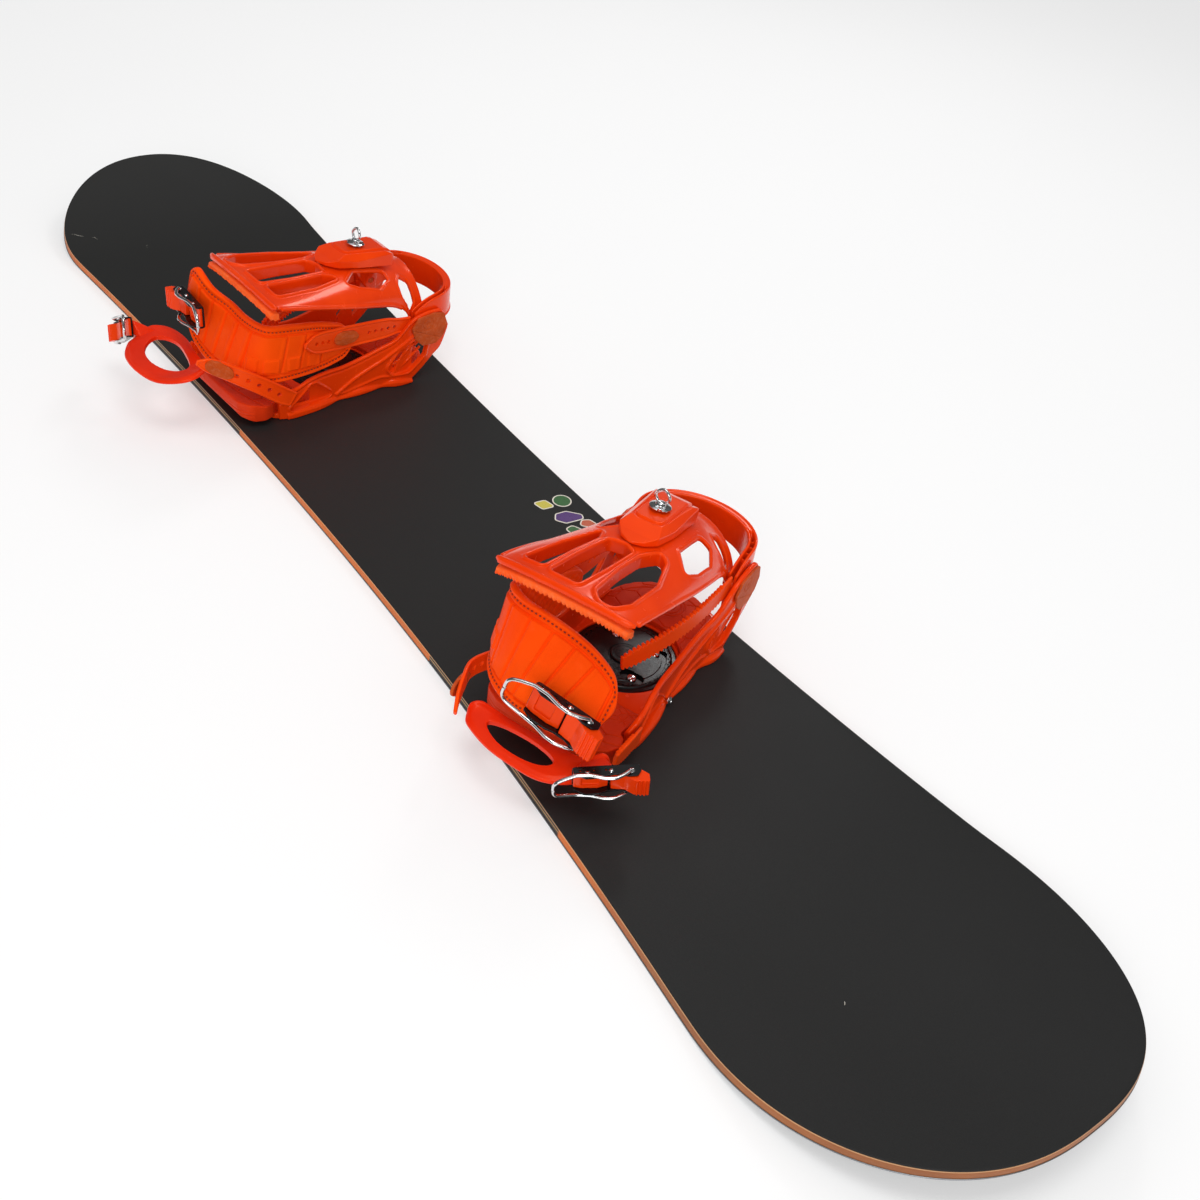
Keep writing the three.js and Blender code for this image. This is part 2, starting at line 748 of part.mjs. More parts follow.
function makeHighback() {
  const grid = stations(BACK_LINE, 12).map(([u]) => {
    const row = [];
    for (let j = 0; j <= BACK_COLUMNS; j += 1) {
      const share = -1 + (2 * j) / BACK_COLUMNS;
      const [, y, z] = backPoint(u, share);
      row.push([u + tipBow(u, share), y, z]);
    }
    return row;
  });
  let shell = sheet(grid, SHELL);
  shell = cut(shell, ...TOE_OPENINGS.map((outline) => slab(outline, 0, FAR)));
  for (const side of [-1, 1]) {
    const mirrored = SIDE_OPENINGS.map((outline) => outline.map(([u, v]) => [u, side * v]));
    shell = cut(shell, ...mirrored.map((outline) => slab(outline, 0, FAR)));
  }
  return cut(shell, rodAcross(PIN_HOLE, PIVOT.u, PIVOT.z, -90, 90));
}

// How far the tip's middle reaches past its corners.
function tipBow(u, share) {
  return (Math.max(u - 60, 0) / 42) * 6 * (1 - share * share);
}

// A toothed rubber strip under the highback's tip.
function makeTipPad() {
  const sections = [];
  for (let i = 0; i <= TIP_TEETH; i += 1) {
    const share = -0.84 + (1.68 * i) / TIP_TEETH;
    const [, y, outer] = backPoint(100, share);
    const z = outer - SHELL - 2.2 - 2 * share ** 4;
    const front = 104 + tipBow(102, share) + (i % 2 ? 2.4 : 0.8);
    const back = 97 + tipBow(97, share);
    const drop = 6;
    sections.push([
      [back, y, z - 0.6],
      [front, y, z],
      [front, y, z - drop],
      [back, y, z - drop],
    ]);
  }
  return loft(sections);
}

// ---- forward lean block and its thumbscrew ----
const BLOCK_SLOPE = 0.155;
const SCREW_U = -30;
const BLOCK_V = -6;
const LEAN_TILT = Math.atan(BLOCK_SLOPE);
const SCREW_DEPTH = 10;

function leanPlane(u) {
  return 122.9 + (u + 66) * BLOCK_SLOPE;
}

function makeLeanBlock() {
  const side = [
    [-66, leanPlane(-66)], [16, leanPlane(16)], [18, leanPlane(18) + 2], [6, 140],
    [-8, 145], [-56, 140], [-64, 136],
  ];
  const plan = [
    [-66, -21], [-20, -22], [4, -19], [14, -12], [18, 0], [14, 12], [4, 19], [-20, 22], [-66, 21],
  ];
  const body = across(side, -24, 24).intersect(slab(plan, 100, 160));
  const ridge = across([[-60, 138], [-56, 142], [-24, 145.5], [-18, 145], [-12, 142]], -13, 13);
  const whole = join(body, ridge).translate([0, BLOCK_V, 0]);
  return cut(whole, leanFrame(rodUp(2.6, 0, 0, -SCREW_DEPTH - 0.3, 6, 16)));
}

function blockTop() {
  return 146.3 + (SCREW_U + 24) * 0.11;
}

function leanMatrix() {
  const matrix = new THREE.Matrix4().makeRotationY(-LEAN_TILT);
  matrix.setPosition(SCREW_U, BLOCK_V, blockTop());
  return matrix;
}

function leanFrame(solid) {
  return solid.transform(leanMatrix().elements);
}

function makeThumbscrew() {
  const shank = rodUp(2.5, 0, 0, -SCREW_DEPTH, 1, 16);
  const washer = rodUp(9.5, 0, 0, 0.3, 1.9, 16);
  const neck = rodUp(3.4, 0, 0, 1.5, 4.5, 8);
  const ring = [];
  for (let i = 0; i < 10; i += 1) {
    const angle = (2 * Math.PI * i) / 10;
    ring.push([0, 6 * Math.cos(angle), 9.8 + 6.6 * Math.sin(angle)]);
  }
  return leanFrame(join(shank, washer, neck, bar(ring, 1.3, true, 6)));
}

// ---- straps ----
// Rows: place along the pad, top edge x y z, bottom edge x y z, all on the outer face.
const ANKLE_PAD = {
  front: [
    [0, 4, -53, 84, 4, -54, 50],
    [1, 45, -57, 98, 42, -58, 44],
    [2, 78, -61, 110, 86, -64, 44],
    [3, 97, -61, 116, 112, -65, 49],
    [4, 105, -45, 115, 138, -48, 49],
    [5, 105, -20, 112, 153, -20, 48],
    [6, 103, 2, 106, 155, 4, 48],
    [7, 101, 22, 97, 154, 28, 48],
    [8, 102, 42, 84, 148, 46, 54],
    [9, 108, 54, 72, 131, 57, 60],
  ],
  rear: [
    [0, 4, -53, 84, 4, -54, 50],
    [1, 40, -56, 97, 38, -57, 44],
    [2, 72, -58.4, 104, 76, -60, 44],
    [3, 97, -54, 106, 106, -57, 45],
    [4, 104, -38, 105, 126, -42, 46],
    [5, 107, -18, 106, 136, -18, 48],
    [6, 110, 0, 111, 139, 8, 52],
    [7, 120, 18, 120, 139, 32, 64],
    [8, 124, 34, 131, 135, 46, 86],
    [9, 125, 44, 137, 127, 50, 116],
  ],
};
const TOE_CAP = {
  front: [
    [0, 154, -51, 41, 162, -53, 27],
    [1, 149, -42, 36, 172, -44, 29],
    [2, 148, -20, 32, 183, -19, 31],
    [3, 148, 5, 31, 188, 6, 33],
    [4, 149, 30, 33, 187, 34, 32],
    [5, 152, 50, 39, 173, 56, 30],
    [6, 140, 67, 46, 147, 74, 29],
  ],
  rear: [
    [0, 157, -37, 80, 163, -38.6, 63],
    [1, 149, -27, 66, 184, -31, 58],
    [2, 145, -7, 55, 202, -12, 54],
    [3, 144, 16, 56, 210, 12, 56],
    [4, 140, 40, 57, 208, 38, 57],
    [5, 145, 60, 60, 197, 56, 58],
    [6, 160, 74, 64, 186, 68, 54],
  ],
};
const SEAT = { reach: [-24, 8], half: 8.5, drop: [-3, -0.4], keys: [5.1, 5.8], depths: [1, 3] };
const CAP_HOLE = {
  front: { first: 1.6, last: 4.1, middle: 0.5 },
  rear: { first: 1.9, last: 4.7, middle: 0.56 },
};

// A pad or cap between its top and bottom edges, bulged outwards a little in the middle.
function padSheet(table, thickness, spans, columns, bulge) {
  const rows = stations(table, spans);
  const grid = rows.map(([key, ...ends], i) => {
    const top = new THREE.Vector3(...ends.slice(0, 3));
    const bottom = new THREE.Vector3(...ends.slice(3));
    const before = rows[Math.max(i - 1, 0)].slice(1);
    const after = rows[Math.min(i + 1, rows.length - 1)].slice(1);
    const along = new THREE.Vector3(...mix(after.slice(0, 3), after.slice(3), 0.5));
    along.sub(new THREE.Vector3(...mix(before.slice(0, 3), before.slice(3), 0.5)));
    const normal = along.cross(top.clone().sub(bottom)).normalize();
    const row = [];
    for (let j = 0; j <= columns; j += 1) {
      const share = j / columns;
      const point = bottom.clone().lerp(top, share);
      row.push(point.addScaledVector(normal, bulge * 4 * share * (1 - share)).toArray());
    }
    return row;
  });
  return sheet(grid, thickness);
}

function makeToeCap(kind) {
  const cap = padSheet(TOE_CAP[kind], CAP_THICKNESS, 12, 3, 2);
  const hole = [];
  const { first, last, middle } = CAP_HOLE[kind];
  for (let i = 0; i < 16; i += 1) {
    const angle = (2 * Math.PI * i) / 16;
    const key = (first + last) / 2 + ((last - first) / 2) * Math.cos(angle);
    const ends = smoothTable(TOE_CAP[kind], key);
    const share = middle + 0.28 * Math.sin(angle);
    const point = mix(ends.slice(3), ends.slice(0, 3), share);
    hole.push([point[0], point[1]]);
  }
  return join(cut(cap, slab(hole, 0, FAR)), makeBuckleSeat(kind));
}

// The lump at the cap's end that the toe buckle is riveted to.
function makeBuckleSeat(kind) {
  const buckle = BUCKLES[`${kind}_toe`];
  const matrix = buckleMatrix(buckle);
  const points = [];
  for (const x of SEAT.reach) {
    for (const y of [-SEAT.half, SEAT.half]) {
      for (const z of SEAT.drop) points.push(new THREE.Vector3(x, y, z).applyMatrix4(matrix).toArray());
    }
  }
  const out = new THREE.Vector3(...buckle.out).normalize();
  for (const key of SEAT.keys) {
    const ends = smoothTable(TOE_CAP[kind], key);
    for (const share of [0.3, 0.7]) {
      const onCap = new THREE.Vector3(...mix(ends.slice(3), ends.slice(0, 3), share));
      for (const depth of SEAT.depths) points.push(onCap.clone().addScaledVector(out, -depth).toArray());
    }
  }
  return wasm.Manifold.hull(points);
}

const ANKLE_CONNECTOR = [
  [-67, -55.4, 68, 8.5],
  [-52, -55.4, 69.4, 9],
  [-36, -55.6, 70.6, 11.5],
  [0, -56.3, 73, 12.5],
  [30, -58.9, 76, 12.5],
  [52, -61.6, 79, 11],
  [66, -63.8, 81, 2.5],
];
const ANKLE_LADDER = [
  [-68, 55.4, 74, 8.5],
  [-40, 54.4, 71, 10],
  [-8, 50.6, 67, 10],
  [25, 42, 62, 10],
  [52, 31, 57.4, 10],
  [61, 27, 56, 7],
];
const TOE_CONNECTOR = {
  front: [
    [79, -64.4, 25, 8.5],
    [92, -66.6, 29, 9.5],
    [112, -70.4, 36, 9.5],
    [132, -70.4, 42, 9.5],
    [150, -64, 45, 9],
    [165, -58, 42, 7],
    [177, -51.5, 39, 2],
  ],
  rear: [
    [80, -64.6, 24, 8.5],
    [92, -64.4, 32, 9.5],
    [112, -61.5, 47, 9.5],
    [132, -55, 60, 9.5],
    [148, -47, 69, 9],
    [160, -41.6, 75, 7.5],
    [170, -38.4, 79, 2.5],
  ],
};
const TOE_LADDER = [
  [86, 65.4, 19, 8],
  [98, 66.6, 21.4, 8.5],
  [114, 68, 25, 8.5],
  [126, 68.6, 28, 7.5],
  [131, 68.6, 29, 5],
];
const UP = [0, 0, 1];

// Round holes through a strap at even steps between two places along it.
function strapHoles(rows, first, last, count, radius) {
  const tools = [];
  for (let i = 0; i < count; i += 1) {
    const x = first + ((last - first) * i) / (count - 1);
    const [, z] = readTable(rows.map((row) => row.slice(0, 3)), x);
    tools.push(rodAcross(radius, x, z, -90, 90, 6));
  }
  return tools;
}

// The flat leaf of the tool-free adjuster that sits on a connector.
function leaf(x, y, z, lean, slant) {
  const outline = [[-16, -1], [-10, -6.5], [4, -8], [13, -5], [16, 0], [13, 6], [4, 8], [-10, 6]];
  const plate = across(outline, -2, 0);
  const turn = new THREE.Matrix4().makeRotationY(-lean);
  turn.premultiply(new THREE.Matrix4().makeRotationZ(slant));
  turn.setPosition(x, y, z);
  return plate.transform(turn.elements);
}

function makeAnkleConnector() {
  const band = strap(stations(ANKLE_CONNECTOR, 10), UP, STRAP_THICKNESS);
  const holes = [
    ...strapHoles(ANKLE_CONNECTOR, -32, -8, 4, 1.6),
    ...strapHoles(ANKLE_CONNECTOR, 36, 54, 3, 1.6),
  ];
  return join(cut(band, ...holes), leaf(14, -58.4, 75, 0.08, -0.07));
}

function makeToothedStrap(rows, spans) {
  const fine = stations(rows, spans).map(([x, y, z, half], i) => {
    const tooth = i > 3 && i % 2 ? 0.9 : 0;
    return [x, y, z, half - tooth];
  });
  return strap(fine, UP, STRAP_THICKNESS);
}

function makeToeConnector(kind) {
  const rows = TOE_CONNECTOR[kind];
  const band = strap(stations(rows, 9), UP, STRAP_THICKNESS);
  const first = rows[1][0] + 8;
  const holes = strapHoles(rows, first, first + 30, 5, CONNECTOR_HOLE);
  const [y, z] = readTable(rows.map((row) => row.slice(0, 3)), rows[4][0] + 2);
  const slant = kind === "front" ? 0.14 : 0.44;
  const lean = kind === "front" ? 0.1 : 0.5;
  return join(cut(band, ...holes), leaf(rows[4][0] + 2, y - 1, z, lean, slant));
}

// ---- ratchet buckles, drawn flat: x along the strap, y across it, z away from the pad ----
const CHEEK = { inner: 11, outer: 12.6 };
const LEVER_PIVOT = [24, 7];
const RELEASE_PIVOT = [8, 5.4];
// The lever's arm from its pivot to its handle: x, how far out to the side, z.
const LEVER_LINE = [
  [24, 15, 7], [17, 15, 12.5], [9, 15, 16], [0, 15, 15.5], [-12, 15, 11.5], [-25, 14.4, 10.5],
  [-36, 12, 12.5], [-43, 9.5, 13.8],
];

function makeBuckleFrame() {
  const cheek = [
    [-26, 0], [30, 0], [31, 6], [27, 10.4], [21, 10.4], [14, 8.6], [2, 8.6], [-8, 11],
    [-18, 11], [-26, 6],
  ];
  let frame = slab(rounded(28, CHEEK.outer, 3, 1), 0, 1.6);
  for (const side of [-1, 1]) {
    const near = side > 0 ? CHEEK.inner : -CHEEK.outer;
    let plate = across(cheek, near, near + CHEEK.outer - CHEEK.inner);
    plate = cut(plate, rodAcross(1.7, ...LEVER_PIVOT, near - 1, near + 3, 8));
    plate = cut(plate, rodAcross(1.5, ...RELEASE_PIVOT, near - 1, near + 3, 8));
    const rivet = side > 0 ? CHEEK.outer - 0.2 : -CHEEK.outer - 0.6;
    frame = join(frame, plate, rodAcross(1.9, -15, 7, rivet, rivet + 0.8, 8));
  }
  return frame;
}

function makeLever() {
  const arm = LEVER_LINE.map(([x, side, z]) => [x, -side, z]);
  const [endX, endSide, endZ] = LEVER_LINE[LEVER_LINE.length - 1];
  const stub = [LEVER_PIVOT[0], -CHEEK.inner - 0.4, LEVER_PIVOT[1]];
  const half = [stub, ...arm, [endX - 2, -endSide + 3, endZ + 0.4]];
  const mirrored = half.map(([x, y, z]) => [x, -y, z]).reverse();
  return bar([...half, ...mirrored], LEVER_WIRE, false, 8);
}

function makeRelease() {
  const outline = [
    [5.5, 3.2], [9, 2.4], [20, 2.2], [29, 6], [36, 12], [34, 17], [27, 16], [18, 10], [6, 8.6],
  ];
  const wide = across(outline, -CHEEK.inner + 0.4, CHEEK.inner - 0.4);
  const pin = rodAcross(1.34, ...RELEASE_PIVOT, -CHEEK.outer + 0.2, CHEEK.outer - 0.2, 8);
  const grooves = [28, 31].map((x) => across(
    [[x - 0.6, 14], [x + 0.6, 14], [x + 0.6, 20], [x - 0.6, 20]],
    -CHEEK.inner,
    CHEEK.inner,
  ));
  return cut(join(wide, pin), ...grooves);
}

// Where a buckle sits: its middle, the way the strap runs, and the way out from the pad.
const BUCKLES = {
  front_ankle: { at: [151.5, 27, 70], along: [0, 0.97, -0.15], out: [0.93, 0.05, 0.25], size: 1 },
  front_toe: { at: [160.5, 74, 43], along: [-0.6, 0.78, 0.1], out: [0.87, 0.46, -0.12], size: 0.85 },
  rear_ankle: { at: [138, 22, 101], along: [-0.1, 0.99, -0.05], out: [0.95, 0.15, 0], size: 0.9 },
  rear_toe: { at: [180.5, 87, 54.5], along: [-0.12, 0.8, -0.58], out: [0.95, 0.23, 0.14], size: 0.8 },
};

function buckleMatrix({ at, along, out, size }) {
  const x = new THREE.Vector3(...along).normalize();
  const z = new THREE.Vector3(...out);
  z.addScaledVector(x, -z.dot(x)).normalize();
  const y = z.clone().cross(x);
  const matrix = new THREE.Matrix4().makeBasis(x, y, z);
  matrix.scale(new THREE.Vector3(size, size, size));
  return matrix.setPosition(...at);
}

function bindingMatrix({ x, y, turn }, mirrored) {
  const angle = THREE.MathUtils.degToRad(turn - 90);
  const matrix = new THREE.Matrix4().makeRotationZ(angle);
  if (mirrored) matrix.multiply(new THREE.Matrix4().makeScale(1, -1, 1));
  return matrix.setPosition(x, y, BOARD_TOP);
}

function makeBinding(kind, placement) {
  const add = (name, solid, look) => addNode(`${kind}_${name}`, solid, look, placement);
  add("baseplate", makeBaseplate(), ORANGE);
  add("disc", makeDisc(), BLACK);
  screwPlaces().forEach(([x, y], i) => add(`disc_screw_${i + 1}`, makeScrew(x, y), CHROME));
  add("heel_pad", makeHeelPad(), SOFT_ORANGE);
  add("toe_ramp", makeToeRamp(), SOFT_ORANGE);
  add("heel_hoop", makeHoop(), ORANGE);
  add("hinge_cover_outer", makeHingePin(1), DUSTY_ORANGE);
  add("hinge_cover_inner", makeHingePin(-1), DUSTY_ORANGE);
  add("highback", makeHighback(), ORANGE);
  add("highback_tip_pad", makeTipPad(), PALE_ORANGE);
  add("lean_block", makeLeanBlock(), ORANGE);
  add("lean_thumbscrew", makeThumbscrew(), CHROME);
  add("ankle_pad", padSheet(ANKLE_PAD[kind], PAD_THICKNESS, 16, 3, 1.5), SOFT_ORANGE);
  add("ankle_connector", makeAnkleConnector(), ORANGE);
  add("ankle_ladder", makeToothedStrap(ANKLE_LADDER, 26), ORANGE);
  add("toe_cap", makeToeCap(kind), RED_ORANGE);
  add("toe_connector", makeToeConnector(kind), ORANGE);
  add("toe_ladder", makeToothedStrap(TOE_LADDER, 14), ORANGE);
  for (const strapName of ["ankle", "toe"]) {
    const matrix = buckleMatrix(BUCKLES[`${kind}_${strapName}`]).elements;
    add(`${strapName}_buckle`, makeBuckleFrame().transform(matrix), BLACK);
    add(`${strapName}_lever`, makeLever().transform(matrix), CHROME);
    add(`${strapName}_release`, makeRelease().transform(matrix), ORANGE);
  }
}

makeBoard();
makeBinding("front", bindingMatrix(FRONT, false));
makeBinding("rear", bindingMatrix(REAR, true));

export default root;
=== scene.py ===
"""The looks of a snowboard with two strap bindings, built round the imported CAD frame."""

import math

import bmesh
import bpy
import numpy as np
from mathutils import Matrix, Vector


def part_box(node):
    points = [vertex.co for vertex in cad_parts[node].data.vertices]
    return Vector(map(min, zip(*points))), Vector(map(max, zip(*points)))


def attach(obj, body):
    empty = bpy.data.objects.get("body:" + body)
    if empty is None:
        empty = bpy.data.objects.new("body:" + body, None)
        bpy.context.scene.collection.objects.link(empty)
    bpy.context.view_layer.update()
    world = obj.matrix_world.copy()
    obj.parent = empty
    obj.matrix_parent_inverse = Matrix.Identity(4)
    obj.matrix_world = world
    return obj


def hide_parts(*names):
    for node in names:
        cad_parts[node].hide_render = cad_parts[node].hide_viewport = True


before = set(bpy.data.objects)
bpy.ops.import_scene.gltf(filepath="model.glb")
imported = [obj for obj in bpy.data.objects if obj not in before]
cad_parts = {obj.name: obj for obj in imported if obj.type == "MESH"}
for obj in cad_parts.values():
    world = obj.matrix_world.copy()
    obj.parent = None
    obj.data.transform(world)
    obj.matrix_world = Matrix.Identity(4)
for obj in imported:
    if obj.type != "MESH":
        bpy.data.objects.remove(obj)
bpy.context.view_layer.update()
MM = 0.001
COARSE = 1.0
scene = bpy.context.scene

# ------------------------------------------------------------------ numbers in tables


def smooth_row(table, key):
    """A table of rows [key, value...] read along a smooth curve through its rows."""
    i = 0
    while i < len(table) - 2 and key > table[i + 1][0]:
        i += 1
    before = table[max(i - 1, 0)]
    here = table[i]
    there = table[i + 1]
    after = table[min(i + 2, len(table) - 1)]
    span = there[0] - here[0]
    t = (key - here[0]) / span
    values = []
    for k in range(1, len(here)):
        slope_in = (there[k] - before[k]) / (there[0] - before[0]) * span
        slope_out = (after[k] - here[k]) / (after[0] - here[0]) * span
        start = (2 * t**3 - 3 * t**2 + 1) * here[k] + (t**3 - 2 * t**2 + t) * slope_in
        values.append(start + (3 * t**2 - 2 * t**3) * there[k] + (t**3 - t**2) * slope_out)
    return values


def stations(table, count):
    """Rows [key, value...] at even keys from the table's first to its last."""
    first, last = table[0][0], table[-1][0]
    keys = [first + (last - first) * i / count for i in range(count + 1)]
    return [[key, *smooth_row(table, key)] for key in keys]


def unit(vectors):
    size = np.linalg.norm(vectors, axis=-1, keepdims=True)
    return vectors / np.maximum(size, 1e-9)


def soften(outline, radius, steps=5):
    """An outline with each corner turned into an arc of about this radius."""
    points = [np.array(p, float) for p in outline]
    out = []
    for i, here in enumerate(points):
        before, after = points[i - 1], points[(i + 1) % len(points)]
        a, b = before - here, after - here
        la, lb = np.linalg.norm(a), np.linalg.norm(b)
        a, b = a / la, b / lb
        angle = math.acos(float(np.clip(a @ b, -1, 1)))
        if angle > 3.0:
            out.append(here)
            continue
        reach = min(radius / math.tan(angle / 2), la * 0.48, lb * 0.48)
        start, end = here + a * reach, here + b * reach
        for k in range(steps + 1):
            t = k / steps
            out.append((1 - t) ** 2 * start + 2 * t * (1 - t) * here + t**2 * end)
    return [tuple(p) for p in out]


def grow(outline, distance):
    """An outline moved outwards, square to itself."""
    points = np.array(outline, float)
    ahead = np.roll(points, -1, 0) - np.roll(points, 1, 0)
    ahead = unit(ahead)
    area = np.sum(points[:, 0] * np.roll(points[:, 1], -1) - np.roll(points[:, 0], -1) * points[:, 1])
    side = np.stack([ahead[:, 1], -ahead[:, 0]], 1) * (1 if area > 0 else -1)
    return [tuple(p) for p in points + side * distance]


def resample(points, step, closed=True):
    """Even points along a line."""
    line = np.array(points, float)
    if closed:
        line = np.vstack([line, line[:1]])
    gaps = np.linalg.norm(np.diff(line, axis=0), axis=1)
    along = np.concatenate([[0], np.cumsum(gaps)])
    count = max(int(round(along[-1] / step)), 8)
    at = np.linspace(0, along[-1], count + 1)
    if closed:
        at = at[:-1]
    return np.stack([np.interp(at, along, line[:, k]) for k in range(line.shape[1])], 1)


def smooth_line(points, step, rounds=3, closed=False):
    """A line through the points, sampled finely and rounded off."""
    line = resample(points, step, closed)
    for _ in range(rounds):
        mean = (np.roll(line, 1, 0) + np.roll(line, -1, 0)) / 2
        if not closed:
            mean[0], mean[-1] = line[0], line[-1]
        line = (line + mean) / 2
    return line


# ------------------------------------------------------------------ meshes, in millimetres


def mesh_object(verts, faces, name="work"):
    mesh = bpy.data.meshes.new(name)
    mesh.from_pydata([tuple(map(float, v)) for v in verts], [], [tuple(map(int, f)) for f in faces])
    edit = bmesh.new()
    edit.from_mesh(mesh)
    bmesh.ops.recalc_face_normals(edit, faces=edit.faces)
    edit.to_mesh(mesh)
    edit.free()
    obj = bpy.data.objects.new(name, mesh)
    scene.collection.objects.link(obj)
    return obj


def bake(obj):
    """Turns the object's modifiers into mesh."""
    graph = bpy.context.evaluated_depsgraph_get()
    mesh = bpy.data.meshes.new_from_object(obj.evaluated_get(graph))
    old = obj.data
    obj.modifiers.clear()
    obj.data = mesh
    bpy.data.meshes.remove(old)
    return obj


def loft(sections, closed=False):
    """A closed body through sections that all have the same number of corners."""
    sections = np.array(sections, float)
    count, corners = sections.shape[:2]
    faces = []
    for i in range(count if closed else count - 1):
        n = (i + 1) % count
        for j in range(corners):
            k = (j + 1) % corners
            faces.append((i * corners + j, i * corners + k, n * corners + k, n * corners + j))
    if not closed:
        faces.append(tuple(range(corners))[::-1])
        faces.append(tuple(range((count - 1) * corners, count * corners)))
    return mesh_object(sections.reshape(-1, 3), faces)


def sheet(grid, thickness):
    """A curved sheet; the grid holds rows of points on its outer face."""
    outer = np.array(grid, float)
    along_row = np.gradient(outer, axis=1)
    along_column = np.gradient(outer, axis=0)
    normal = unit(np.cross(along_column, along_row))
    inner = outer - normal * thickness
    rows, columns = outer.shape[:2]
    ring = np.concatenate([outer, inner[:, ::-1]], axis=1)
    corners = 2 * columns
    faces = []
    for i in range(rows - 1):
        for j in range(corners):
            a, b = i * corners + j, i * corners + (j + 1) % corners
            faces.append((a, b, b + corners, a + corners))
    for row in (0, rows - 1):
        for j in range(columns - 1):
            a = row * corners + j
            d = row * corners + corners - 1 - j
            faces.append((a, a + 1, d - 1, d))
    return mesh_object(ring.reshape(-1, 3), faces)


def prism(outline, low, high):
    """An outline in x, y pushed up between two heights."""
    count = len(outline)
    verts = [(x, y, low) for x, y in outline] + [(x, y, high) for x, y in outline]
    faces = [(i, (i + 1) % count, count + (i + 1) % count, count + i) for i in range(count)]
    faces += [tuple(range(count))[::-1], tuple(range(count, 2 * count))]
    return mesh_object(verts, faces)


def across(outline, left, right):
    """An outline in x, z pushed across between two y."""
    obj = prism(outline, 0, 1)
    co = points_of(obj)
    put_points(obj, np.stack([co[:, 0], left + (right - left) * co[:, 2], co[:, 1]], 1))
    return fix(obj)


def ring(radius, sides, centre=(0, 0), squash=1.0):
    turn = np.arange(sides) * 2 * math.pi / sides
    return [(centre[0] + radius * math.cos(t), centre[1] + radius * squash * math.sin(t)) for t in turn]


def lathe(profile, centre=(0, 0), sides=64):
    """A round body from rows (radius, z), closed on its axis."""
    sections = []
    for t in np.arange(sides) * 2 * math.pi / sides:
        sections.append([(centre[0] + r * math.cos(t), centre[1] + r * math.sin(t), z) for r, z in profile])
    sections = np.array(sections)
    count, corners = sections.shape[:2]
    verts = sections.reshape(-1, 3).tolist()
    faces = []
    for i in range(count):
        n = (i + 1) % count
        for j in range(corners - 1):
            faces.append((i * corners + j, n * corners + j, n * corners + j + 1, i * corners + j + 1))
    faces.append(tuple(i * corners for i in range(count)))
    faces.append(tuple(i * corners + corners - 1 for i in range(count)))
    return mesh_object(verts, faces)


def bar(path, radius, closed=False, sides=10, flat=1.0, flat_along=None):
    """A bar along a path. flat squeezes it along the direction flat_along."""
    points = np.array(path, float)
    count = len(points)
    ahead = np.roll(points, -1, 0) - np.roll(points, 1, 0)
    if not closed:
        ahead[0] = points[1] - points[0]
        ahead[-1] = points[-1] - points[-2]
    ahead = unit(ahead)
    side = np.array([0.31, 0.2, 0.93]) if flat_along is None else np.array(flat_along, float)
    radii = np.broadcast_to(np.array(radius, float), (count,))
    sections = []
    for i in range(count):
        if flat_along is not None:
            side = np.array(flat_along, float)
        side = side - ahead[i] * (side @ ahead[i])
        side = side / max(np.linalg.norm(side), 1e-9)
        up = np.cross(ahead[i], side)
        turn = np.arange(sides) * 2 * math.pi / sides
        circle = np.outer(np.cos(turn), side) * flat + np.outer(np.sin(turn), up)
        sections.append(points[i] + circle * radii[i])
    return loft(sections, closed)


def points_of(obj):
    co = np.zeros(len(obj.data.vertices) * 3, np.float32)
    obj.data.vertices.foreach_get("co", co)
    return co.reshape(-1, 3).astype(float)


def normals_of(obj):
    no = np.zeros(len(obj.data.vertices) * 3, np.float32)
    obj.data.vertices.foreach_get("normal", no)
    return no.reshape(-1, 3).astype(float)


def put_points(obj, co):
    obj.data.vertices.foreach_set("co", np.array(co, np.float32).ravel())
    obj.data.update()
    return obj


def fix(obj):
    """Points every face outwards."""
    edit = bmesh.new()
    edit.from_mesh(obj.data)
    bmesh.ops.recalc_face_normals(edit, faces=edit.faces)
    edit.to_mesh(obj.data)
    edit.free()
    return obj


def moved(obj, matrix):
    obj.data.transform(matrix)
    if matrix.determinant() < 0:
        obj.data.flip_normals()
    return obj


def boolean(obj, tools, operation):
    for tool in tools:
        step = obj.modifiers.new("step", "BOOLEAN")
        step.operation = operation
        step.solver = "MANIFOLD"
        step.object = tool
    bake(obj)
    for tool in tools:
        old = tool.data
        bpy.data.objects.remove(tool)
        bpy.data.meshes.remove(old)
    return obj


def join(obj, *tools):
    return boolean(obj, tools, "UNION")


def cut(obj, *tools):
    return boolean(obj, tools, "DIFFERENCE")


def common(obj, *tools):
    return boolean(obj, tools, "INTERSECT")


def merge(*objs):
    """Puts closed bodies into one mesh without cutting them together."""
    edit = bmesh.new()
    for obj in objs:
        edit.from_mesh(obj.data)
    mesh = bpy.data.meshes.new("work")
    edit.to_mesh(mesh)
    edit.free()
    for obj in objs:
        old = obj.data
        bpy.data.objects.remove(obj)
        bpy.data.meshes.remove(old)
    whole = bpy.data.objects.new("work", mesh)
    scene.collection.objects.link(whole)
    return whole


def mould(obj, voxel, rounds=5):
    """Gives a body the small soft fillets of a moulded part."""
    remesh = obj.modifiers.new("remesh", "REMESH")
    remesh.mode = "VOXEL"
    remesh.voxel_size = voxel * COARSE
    smooth = obj.modifiers.new("smooth", "SMOOTH")
    smooth.factor = 0.5
    smooth.iterations = max(int(rounds / COARSE), 2)
    return bake(obj)


def emboss(obj, depth):
    """Moves each point along its normal by depth(points, normals)."""
    co, no = points_of(obj), normals_of(obj)
    return put_points(obj, co + no * depth(co, no)[:, None])


